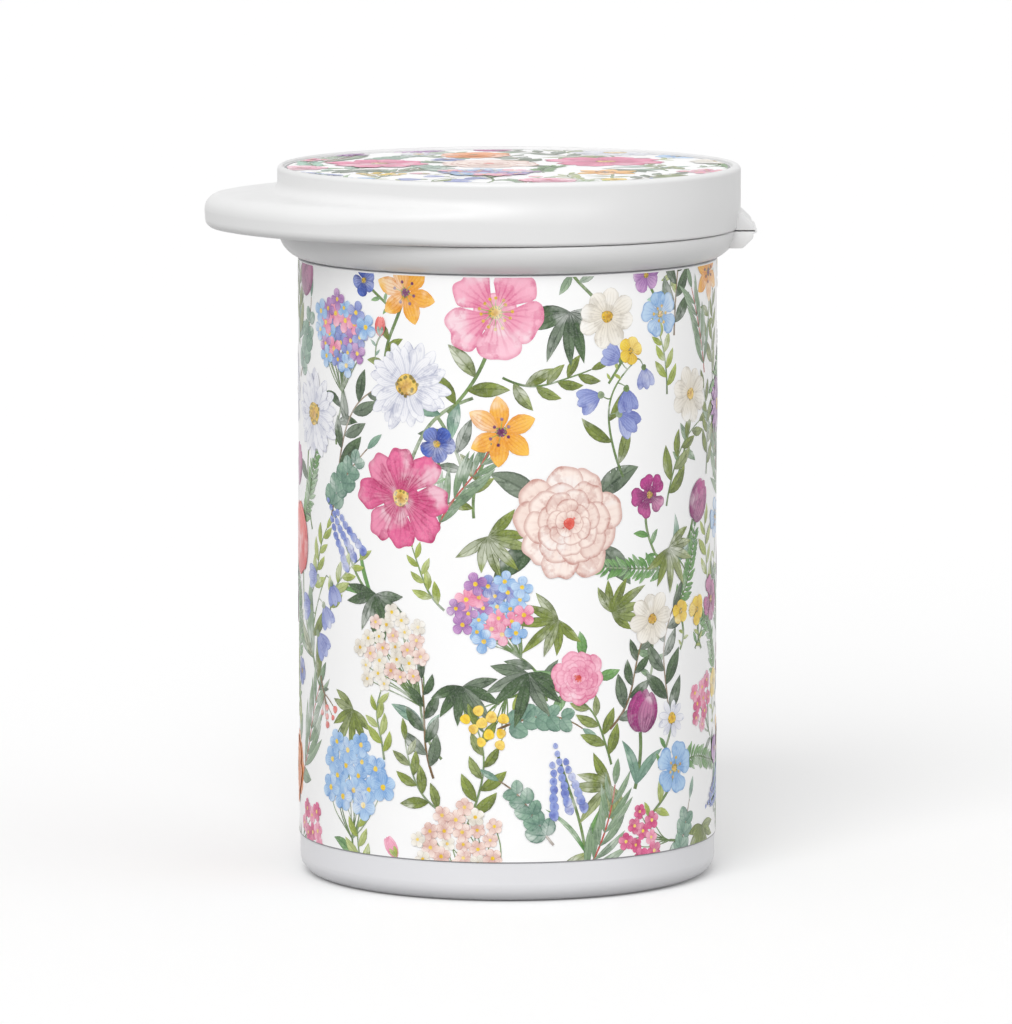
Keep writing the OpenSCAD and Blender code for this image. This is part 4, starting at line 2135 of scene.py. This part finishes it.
BIG = (
    Kind(RayFlower(Palette.HOT_PINK, 8, 0.74, 0.6, 1.7, teeth=0.03, heart=0.17,
                   leaf=Palette.SAGE), 7.4, 8.8, 3),
    Kind(Rosette(Palette.BLUSH, Palette.CORAL_BEAD), 7.6, 9.0, 2),
    Kind(RayFlower(Palette.ROSE, 5, 1.02, 0.52, 1.6, notch=0.1, teeth=0.02, heart=0.13, stamens=14,
                   leaf=Palette.OLIVE), 7.0, 8.2, 2),
    Kind(RayFlower(Palette.WHITE, 17, 0.3, 0.55, 1.3, rings=(1.0, 0.84), heart=0.26,
                   leaf=Palette.DARK), 6.4, 7.6, 3),
    Kind(Rosette(Palette.ORANGE, Palette.HEART, Palette.GREY_GREEN), 5.4, 6.4, 1),
    Kind(Cluster((Palette.SKY,), 15, leaf=Palette.FRESH), 6.4, 7.4, 1),
    Kind(Cluster((Palette.LAVENDER, Palette.SKY, Palette.ROSE, Palette.PERIWINKLE), 24, 4, 0.25,
                 leaf=Palette.DARK), 6.4, 7.6, 1),
    Kind(Cluster((Palette.CREAM, Palette.BLUSH), 26, 5, 0.17, leaf=Palette.SAGE), 7.0, 8.4, 2),
    Kind(Tulip(Palette.CORAL), 5.0, 6.0, 1),
    Kind(Bells(Palette.PERIWINKLE), 7.6, 8.8, 2),
)
MEDIUM = (
    Kind(RayFlower(Palette.LAVENDER, 20, 0.2, 0.6, 1.2, rings=(1.0, 0.8), heart=0.22), 4.4, 5.2, 3),
    Kind(RayFlower(Palette.SKY, 5, 0.98, 0.52, 1.5, notch=0.08, heart=0.15, stamens=6,
                   leaf=Palette.LIME), 3.6, 4.4, 3),
    Kind(RayFlower(Palette.AMBER, 6, 0.52, 0.8, 1.1, heart=0.14, stamens=6, heart_ink=Palette.PLUM_DOT,
                   leaf=Palette.OLIVE), 4.6, 5.6, 3),
    Kind(Tulip(Palette.MAGENTA, Palette.SAGE), 3.2, 3.8, 2),
    Kind(BeadSpike(Palette.BLUE_BEAD), 4.0, 4.8, 3),
    Kind(RayFlower(Palette.MAGENTA, 5, 0.96, 0.52, 1.5, notch=0.1, heart=0.16), 3.4, 4.0, 2),
    Kind(Cluster((Palette.YELLOW_BEAD,), 10, beads=True, leaf=Palette.LIME), 3.8, 4.6, 2),
    Kind(Cluster((Palette.ROSE, Palette.HOT_PINK), 9, leaf=Palette.DARK), 4.2, 5.0, 2),
    Kind(RayFlower(Palette.CREAM, 8, 0.62, 0.55, 1.6, heart=0.2, leaf=Palette.GREY_GREEN), 4.0, 4.8, 2),
    Kind(Rosette(Palette.ROSE, Palette.CORAL_BEAD, Palette.FRESH), 4.0, 4.8, 2),
)
SMALL = (
    Kind(RayFlower(Palette.BLUE, 5, 0.9, 0.52, 1.5, heart=0.2), 2.2, 2.8, 3),
    Kind(RayFlower(Palette.YELLOW, 5, 0.94, 0.52, 1.5, heart=0.2, leaf=Palette.LIME), 1.8, 2.4, 3),
    Kind(Bud(Palette.ROSE), 1.6, 2.1, 2),
    Kind(Bud(Palette.CORAL, Palette.SAGE), 1.5, 2.0, 1),
    Kind(RayFlower(Palette.LAVENDER, 5, 0.92, 0.52, 1.5, heart=0.18, leaf=Palette.MINT), 2.2, 2.8, 2),
    Kind(Cluster((Palette.CORAL_BEAD,), 6, beads=True, stem=Palette.TWIG, leaf=Palette.DARK), 2.4, 3.0, 2),
    Kind(RayFlower(Palette.WHITE, 9, 0.4, 0.6, 1.3, heart=0.3, leaf=Palette.FRESH), 2.4, 3.0, 2),
)
SPRIGS = (
    Kind(Sprig(SprigForm.ALTERNATE, Palette.DARK, Palette.TWIG), 7.4, 9.4, 3, 0.55),
    Kind(Sprig(SprigForm.WILLOW, Palette.GREY_GREEN, Palette.RED_STEM), 6.8, 8.6, 2, 0.55),
    Kind(Sprig(SprigForm.FERN, Palette.FRESH), 6.0, 8.0, 2, 0.55),
    Kind(Sprig(SprigForm.ROUND, Palette.SAGE, Palette.TWIG), 6.0, 7.4, 2, 0.55),
    Kind(Sprig(SprigForm.ALTERNATE, Palette.LIME), 5.0, 6.6, 2, 0.55),
    Kind(Sprig(SprigForm.WILLOW, Palette.MINT), 5.4, 7.0, 1, 0.55),
    Kind(Sprig(SprigForm.ALTERNATE, Palette.OLIVE), 6.4, 8.4, 3, 0.55),
    Kind(Sprig(SprigForm.SPLAY, Palette.DARK), 6.0, 7.4, 2, 0.6),
    Kind(Sprig(SprigForm.SPLAY, Palette.OLIVE), 5.6, 7.0, 2, 0.6),
)


@dataclass(frozen=True)
class Sowing:
    """One sowing of a print: its kinds, the gap they keep, the places tried and how close they crowd."""

    kinds: tuple[Kind, ...]
    gap: float
    tries: int
    crowd: bool = False


SOWINGS = (Sowing(BIG, 0.4, 60, crowd=True), Sowing(MEDIUM, -0.1, 90), Sowing(SPRIGS, -5.6, 90),
           Sowing(SMALL, -0.5, 120))


@dataclass(frozen=True)
class Bed:
    """The flat area that the print covers."""

    width: float
    height: float
    disc: bool = False

    def holds(self, x: float, y: float, spare: float) -> bool:
        """Tell whether a point lies on the bed.

        Args:
            x: Place along the label.
            y: Place up the label.
            spare: Margin inside the bed's edge, which may be negative.

        Returns:
            Whether it does.
        """
        if self.disc:
            return math.hypot(x, y) < self.width / 2 - spare
        return abs(x) < self.width / 2 - spare and abs(y) < self.height / 2 - spare


@dataclass
class Layout:
    """Scatters motifs over a bed, the big ones first."""

    bed: Bed
    seed: int
    overhang: float = 0.3
    upright: float = 0.75
    taken: list[tuple[float, float, float]] = field(default_factory=list)

    def room(self, x: float, y: float) -> float:
        """Return the distance from a point to the nearest motif's edge."""
        return min((math.hypot(x - a, y - b) - r for a, b, r in self.taken), default=math.inf)

    def scatter(self, rng: random.Random, sowing: Sowing, count: int) -> list[tuple[Motif, Pose, float]]:
        """Place the motifs of one sowing, each where it has most room or where it just fits.

        Args:
            rng: The print's random numbers.
            sowing: The sowing.
            count: How many to place at most.

        Returns:
            Each motif with its pose and radius.
        """
        placed: list[tuple[Motif, Pose, float]] = []
        bag = [kind for kind in sowing.kinds for _ in range(kind.share)]
        queue: list[Kind] = []
        for _ in range(count):
            if not queue:
                queue = bag[:]
                rng.shuffle(queue)
            kind = queue.pop()
            radius = rng.uniform(kind.low, kind.high)
            best: tuple[float, float, float] | None = None
            for _ in range(sowing.tries):
                x = rng.uniform(-0.5, 0.5) * self.bed.width
                y = rng.uniform(-0.5, 0.5) * self.bed.height
                if not self.bed.holds(x, y, -self.overhang * radius):
                    continue
                room = self.room(x, y) - radius
                if room < sowing.gap:
                    continue
                score = -room if sowing.crowd else room
                if best is None or score > best[0]:
                    best = (score, x, y)
            if best is None:
                continue
            _, x, y = best
            turn = rng.uniform(-0.7, 0.7) if rng.random() < self.upright else rng.uniform(-2.8, 2.8)
            placed.append((kind.motif, Pose(x, y, turn), radius))
            self.taken.append((x, y, radius * kind.hold))
        return placed

    def strokes(self, counts: tuple[int, int, int, int]) -> list[Stroke]:
        """Place every motif and paint it.

        Args:
            counts: How many motifs to try in each sowing.

        Returns:
            The strokes, lowest first.
        """
        rng = random.Random(self.seed)
        painter = Painter(rng)
        for sowing, count in zip(SOWINGS, counts):
            for motif, pose, radius in self.scatter(rng, sowing, count):
                motif.draw(painter, pose, radius)
        return painter.greens + painter.blooms


@dataclass(frozen=True)
class LaidStroke:
    """A stroke with its points and its level over the label."""

    stroke: Stroke
    grid: list[list[Point]]
    level: int


@dataclass
class Print:
    """The floral print, laid as thin sheets of ink over the two label films."""

    sizes: Sizes
    paper: Colour
    wrap_seed: int = 20
    wrap_counts: tuple[int, int, int, int] = (28, 54, 110, 40)
    disc_seed: int = 7
    disc_counts: tuple[int, int, int, int] = (7, 14, 22, 10)
    margin: float = 0.15
    disc_margin: float = 0.38
    disc_cuts: int = 64
    lift: float = 0.004
    step: float = 0.0026
    sheets: int = 6
    batch: int = 24

    def inks(self, groups: Groups) -> list[Material]:
        """Build the three inks in the order of their styles."""
        names = {InkStyle.PETAL: "petal_ink", InkStyle.LEAF: "leaf_ink", InkStyle.PLAIN: "line_ink"}
        return [PrintInk(names[style], style, self.paper).material(groups) for style in InkStyle]

    def laid(self, strokes: Sequence[Stroke], cell: float = 0.9) -> list[LaidStroke]:
        """Raise each stroke over those that it may cover.

        Args:
            strokes: The strokes, lowest first.
            cell: Size of the squares in which strokes are held to meet.

        Returns:
            The laid strokes in the same order.
        """
        tops: dict[tuple[int, int], int] = {}
        made: list[LaidStroke] = []
        for stroke in strokes:
            grid = stroke.grid()
            cells = {(math.floor(x / cell), math.floor(y / cell)) for row in grid for x, y in row}
            level = max(tops.get(key, -1) for key in cells) + 1
            tops.update(dict.fromkeys(cells, level))
            made.append(LaidStroke(stroke, grid, level))
        LOG.info("%d strokes on %d levels", len(made), max(tops.values()) + 1)
        return made

    @staticmethod
    def shelves(strokes: Sequence[Stroke], pad: float = 0.12, slack: float = 1.04,
                fill: float = 0.996) -> list[tuple[float, float, float, float]]:
        """Give each stroke its own rectangle of the unit square.

        Args:
            strokes: The strokes of one sheet.
            pad: Free space round each.
            slack: The shelves' length over the side of a square of the strokes' area.
            fill: Share of the unit square's side that is used.

        Returns:
            Each rectangle's low x, low y, width and height.
        """
        order = sorted(range(len(strokes)), key=lambda i: -strokes[i].length)
        area = sum((s.width + 2 * pad) * (s.length + 2 * pad) for s in strokes)
        wide = math.sqrt(area) * slack
        places: dict[int, tuple[float, float]] = {}
        x = y = shelf = 0.0
        for index in order:
            width, height = strokes[index].width + 2 * pad, strokes[index].length + 2 * pad
            if x + width > wide:
                x, y, shelf = 0.0, y + shelf, 0.0
            places[index] = (x + pad, y + pad)
            x += width
            shelf = max(shelf, height)
        scale = fill / max(wide, y + shelf)
        return [(places[i][0] * scale, places[i][1] * scale, stroke.width * scale, stroke.length * scale)
                for i, stroke in enumerate(strokes)]

    def lay(self, laid: LaidStroke, rect: tuple[float, float, float, float], bm: BMesh) -> None:
        """Lay one stroke out flat: x along the label, y the level, z up it.

        Args:
            laid: The stroke.
            rect: Its rectangle in the sheet's chart.
            bm: The mesh that takes it.
        """
        stroke, colour = laid.stroke, laid.stroke.ink
        chart = bm.loops.layers.uv["OFBake"]
        wash, pigment = bm.verts.layers.float_color["wash"], bm.verts.layers.float_color["pigment"]
        place = bm.verts.layers.float_vector["place"]
        made = bmesh.ops.create_grid(bm, x_segments=stroke.columns, y_segments=stroke.rows, size=0.5)
        for vert in made["verts"]:
            column = round((vert.co.x + 0.5) * stroke.columns)
            row = round((vert.co.y + 0.5) * stroke.rows)
            across, along = 2 * vert.co.x, vert.co.y + 0.5
            spot = (rect[0] + rect[2] * (across + 1) / 2, rect[1] + rect[3] * along)
            for loop in vert.link_loops:
                loop[chart].uv = spot
                loop.face.material_index = colour.style.value
            shade = mixed(colour.base, colour.wash, min(1.0, along * 1.25) ** 0.8)
            vert[wash] = (*shade[:3], colour.lines)
            vert[pigment] = (*colour.pigment[:3], colour.rim)
            vert[place] = (0.0 if stroke.dot else across, along, 0.0)
            x, y = laid.grid[row][column]
            vert.co = (x, laid.level * self.step, y)

    def sheet(self, chosen: Sequence[LaidStroke]) -> BMesh:
        """Lay some strokes out flat, a few at a time, with every face turned the same way.

        Args:
            chosen: The strokes.

        Returns:
            The flat sheet.
        """
        rects = self.shelves([laid.stroke for laid in chosen])
        whole = self.blank()
        for start in range(0, len(chosen), self.batch):
            few = self.blank()
            end = start + self.batch
            for laid, rect in zip(chosen[start:end], rects[start:end]):
                self.lay(laid, rect, few)
            joined(whole, few)
        whole.normal_update()
        bmesh.ops.reverse_faces(whole, faces=[face for face in whole.faces if face.normal.y > 0])
        return whole

    @staticmethod
    def blank() -> BMesh:
        """Start an empty mesh with the print's layers.

        Returns:
            The mesh.
        """
        bm = bmesh.new()
        bm.loops.layers.uv.new("OFBake")
        bm.verts.layers.float_color.new("wash")
        bm.verts.layers.float_color.new("pigment")
        bm.verts.layers.float_vector.new("place")
        return bm

    @staticmethod
    def cut(bm: BMesh, place: tuple[float, float], away: tuple[float, float]) -> None:
        """Cut off what lies beyond a line of the flat sheet.

        Args:
            bm: The sheet.
            place: A point of the line.
            away: The direction of the side that goes.
        """
        geom = bm.verts[:] + bm.edges[:] + bm.faces[:]
        bmesh.ops.bisect_plane(bm, geom=geom, dist=CUT_DISTANCE, clear_outer=True,
                               plane_co=(place[0], 0, place[1]), plane_no=(away[0], 0, away[1]))

    def sheet_of(self, laid: LaidStroke, around: float) -> int:
        """Return the number of the sheet that a stroke's middle lies on."""
        middle = laid.grid[len(laid.grid) // 2][laid.stroke.columns // 2][0]
        return min(max(int((middle / around + 0.5) * self.sheets), 0), self.sheets - 1)

    def wrap(self, inks: Sequence[Material]) -> None:
        """Print the wrap, sheet by sheet round the tub.

        Args:
            inks: The inks in the order of their styles.
        """
        s = self.sizes
        radius = s.body_label_r / MM
        low, high = (z / MM for z in s.body_label_z)
        around = TURN * radius
        bed = Bed(around, high - low)
        half = bed.height / 2 - self.margin
        every = self.laid(Layout(bed, self.wrap_seed).strokes(self.wrap_counts))
        for number in range(self.sheets):
            bm = self.sheet([laid for laid in every if self.sheet_of(laid, around) == number])
            self.cut(bm, (0, half), (0, 1))
            self.cut(bm, (0, -half), (0, -1))
            if number in (0, self.sheets - 1):
                way = 1 if number else -1
                self.cut(bm, (way * (around / 2 - self.margin), 0), (way, 0))
            for vert in bm.verts:
                turn = vert.co.x / radius
                reach = radius + self.lift + vert.co.y
                vert.co = Vector((reach * math.sin(turn), -reach * math.cos(turn),
                                  (low + high) / 2 + vert.co.z)) * MM
            piece(f"wrap_print_{number + 1}", bm, inks, "tub", sharp=180)

    def disc(self, inks: Sequence[Material]) -> None:
        """Print the lid's disc.

        Args:
            inks: The inks in the order of their styles.
        """
        s = self.sizes
        radius = s.lid_label_r / MM
        bed = Bed(2 * radius, 2 * radius, disc=True)
        bm = self.sheet(self.laid(Layout(bed, self.disc_seed).strokes(self.disc_counts)))
        edge = radius - self.disc_margin
        for index in range(self.disc_cuts):
            angle = TURN * index / self.disc_cuts
            way = (math.cos(angle), math.sin(angle))
            self.cut(bm, (way[0] * edge, way[1] * edge), way)
        floor_z = s.lid_label_z[1] / MM + self.lift
        for vert in bm.verts:
            vert.co = Vector((vert.co.x, vert.co.z, floor_z + vert.co.y)) * MM
        piece("disc_print", bm, inks, "lid", sharp=180)


# ---- studio


@dataclass(frozen=True)
class Lamp:
    """A broad soft sun: its strength, and its size, height and turn to the left in degrees."""

    strength: float
    size: float
    lift: float
    left: float


@dataclass
class Studio:
    """A pale floor, soft even light and the camera."""

    seen_floor: Colour = (0.9, 0.9, 0.9, 1.0)
    felt_floor: Colour = (0.42, 0.42, 0.42, 1.0)
    floor_light: float = 0.07
    floor_reach: float = 6.0
    floor_drop: float = 0.05 * MM
    sky: float = 0.68
    lamps: tuple[Lamp, ...] = (Lamp(1.74, 42.0, 36.0, 15.0), Lamp(0.5, 60.0, 8.0, -62.0))
    camera_place: tuple[float, float, float] = (-0.000216, -1.154, 0.1946)
    camera_target: tuple[float, float, float] = (-0.000216, 0.0, 0.052)
    lens: float = 283.41
    sensor: float = 36.0
    near: float = 0.05
    far: float = 50.0

    def floor(self) -> bpy.types.Object:
        """Lay the floor.

        Returns:
            The floor.
        """
        bm = bmesh.new()
        bmesh.ops.create_grid(bm, x_segments=8, y_segments=8, size=self.floor_reach)
        bmesh.ops.translate(bm, vec=(0, 0, -self.floor_drop), verts=bm.verts)
        mesh = bpy.data.meshes.new("stage_floor")
        bm.to_mesh(mesh)
        bm.free()
        made = bpy.data.objects.new("stage_floor", mesh)
        bpy.context.scene.collection.objects.link(made)
        mesh.materials.append(self.floor_skin())
        return made

    def floor_skin(self) -> Material:
        """Build the floor's material: white to the camera, pale to the light it sends back.

        Returns:
            The material.
        """
        skin, graph, bsdf = blank_material("stage_floor")
        shade = graph.ramp(graph.noise(graph.spot(), Grain.GROUND), 0.3, 0.7)
        seen = seen_rays(graph)
        pale = graph.mix(shade, self.felt_floor, mixed(self.felt_floor, (0.0, 0.0, 0.0, 1.0), 0.02))
        graph.feed(bsdf.inputs["Base Color"], graph.mix(seen, pale, self.seen_floor))
        bsdf.inputs["Roughness"].default_value = 0.95
        bsdf.inputs["Specular IOR Level"].default_value = 0.0
        bsdf.inputs["Emission Color"].default_value = (1, 1, 1, 1)
        graph.feed(bsdf.inputs["Emission Strength"], graph.math("MULTIPLY", seen, self.floor_light))
        return skin

    def world(self) -> None:
        """Light the scene evenly and keep a white ground behind it and in glosses."""
        world = bpy.data.worlds.new("soft_sky")
        bpy.context.scene.world = world
        world.use_nodes = True
        graph = Graph(world.node_tree)
        world.node_tree.nodes.clear()
        soft = graph.node("ShaderNodeBackground")
        soft.inputs["Color"].default_value = (1, 1, 1, 1)
        soft.inputs["Strength"].default_value = self.sky
        plain = graph.node("ShaderNodeBackground")
        plain.inputs["Color"].default_value = (1, 1, 1, 1)
        plain.inputs["Strength"].default_value = 1.0
        mix = graph.node("ShaderNodeMixShader")
        graph.feed(mix.inputs[0], seen_rays(graph))
        graph.feed(mix.inputs[1], soft.outputs[0])
        graph.feed(mix.inputs[2], plain.outputs[0])
        out = graph.node("ShaderNodeOutputWorld")
        graph.feed(out.inputs["Surface"], mix.outputs[0])

    def hang(self) -> None:
        """Hang the lamps."""
        for number, lamp in enumerate(self.lamps):
            data = bpy.data.lights.new(f"soft_sun_{number}", "SUN")
            data.energy = lamp.strength
            data.angle = math.radians(lamp.size)
            made = bpy.data.objects.new(data.name, data)
            made.rotation_euler = (math.pi / 2 - math.radians(lamp.lift), 0.0, -math.radians(lamp.left))
            bpy.context.scene.collection.objects.link(made)

    def camera(self) -> None:
        """Place the camera level with the lid, looking slightly down."""
        data = bpy.data.cameras.new("front_camera")
        data.lens = self.lens
        data.sensor_width = self.sensor
        data.clip_start, data.clip_end = self.near, self.far
        made = bpy.data.objects.new("front_camera", data)
        made.location = self.camera_place
        aim = Vector(self.camera_target) - Vector(self.camera_place)
        made.rotation_euler = aim.to_track_quat("-Z", "Y").to_euler()
        bpy.context.scene.collection.objects.link(made)
        bpy.context.scene.camera = made

    def build(self) -> None:
        """Set up the whole stage."""
        self.floor()
        self.world()
        self.hang()
        self.camera()
        bpy.context.scene.view_settings.view_transform = "Standard"


def main() -> None:
    """Build every sub-assembly in order."""
    logging.basicConfig(level=logging.INFO, format="%(name)s: %(message)s")
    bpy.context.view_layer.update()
    sizes = Sizes.read()
    groups = Groups()
    closure = MouldedPlastic("closure_plastic", srgb(228, 228, 228), srgb(209, 209, 208), roughness=0.42)
    pot = MouldedPlastic("tub_plastic", srgb(226, 226, 229), srgb(206, 206, 208), roughness=0.32)
    dish = MouldedPlastic("sifter_plastic", srgb(236, 236, 235), srgb(214, 212, 208), roughness=0.42)
    paper = srgb(251, 251, 251)
    Tub(sizes, pot).build(groups)
    ClosureRing(sizes, closure).build(groups)
    Sifter(sizes, dish).build(groups)
    FilmHinge(sizes, closure).build(groups)
    Lid(sizes, closure).build(groups)
    # The foam's second colour is painted shade for its pits' hollows.
    Liner(sizes, Foam("liner_foam", srgb(240, 240, 238), srgb(205, 205, 202))).build()
    # The grey is painted shade along the labels' cut edges.
    labels = Labels(sizes, paper, srgb(135, 135, 138))
    labels.wrap(groups)
    labels.disc(groups)
    floral = Print(sizes, paper)
    inks = floral.inks(groups)
    floral.wrap(inks)
    floral.disc(inks)
    Studio().build()


if __name__ == "__main__":
    main()
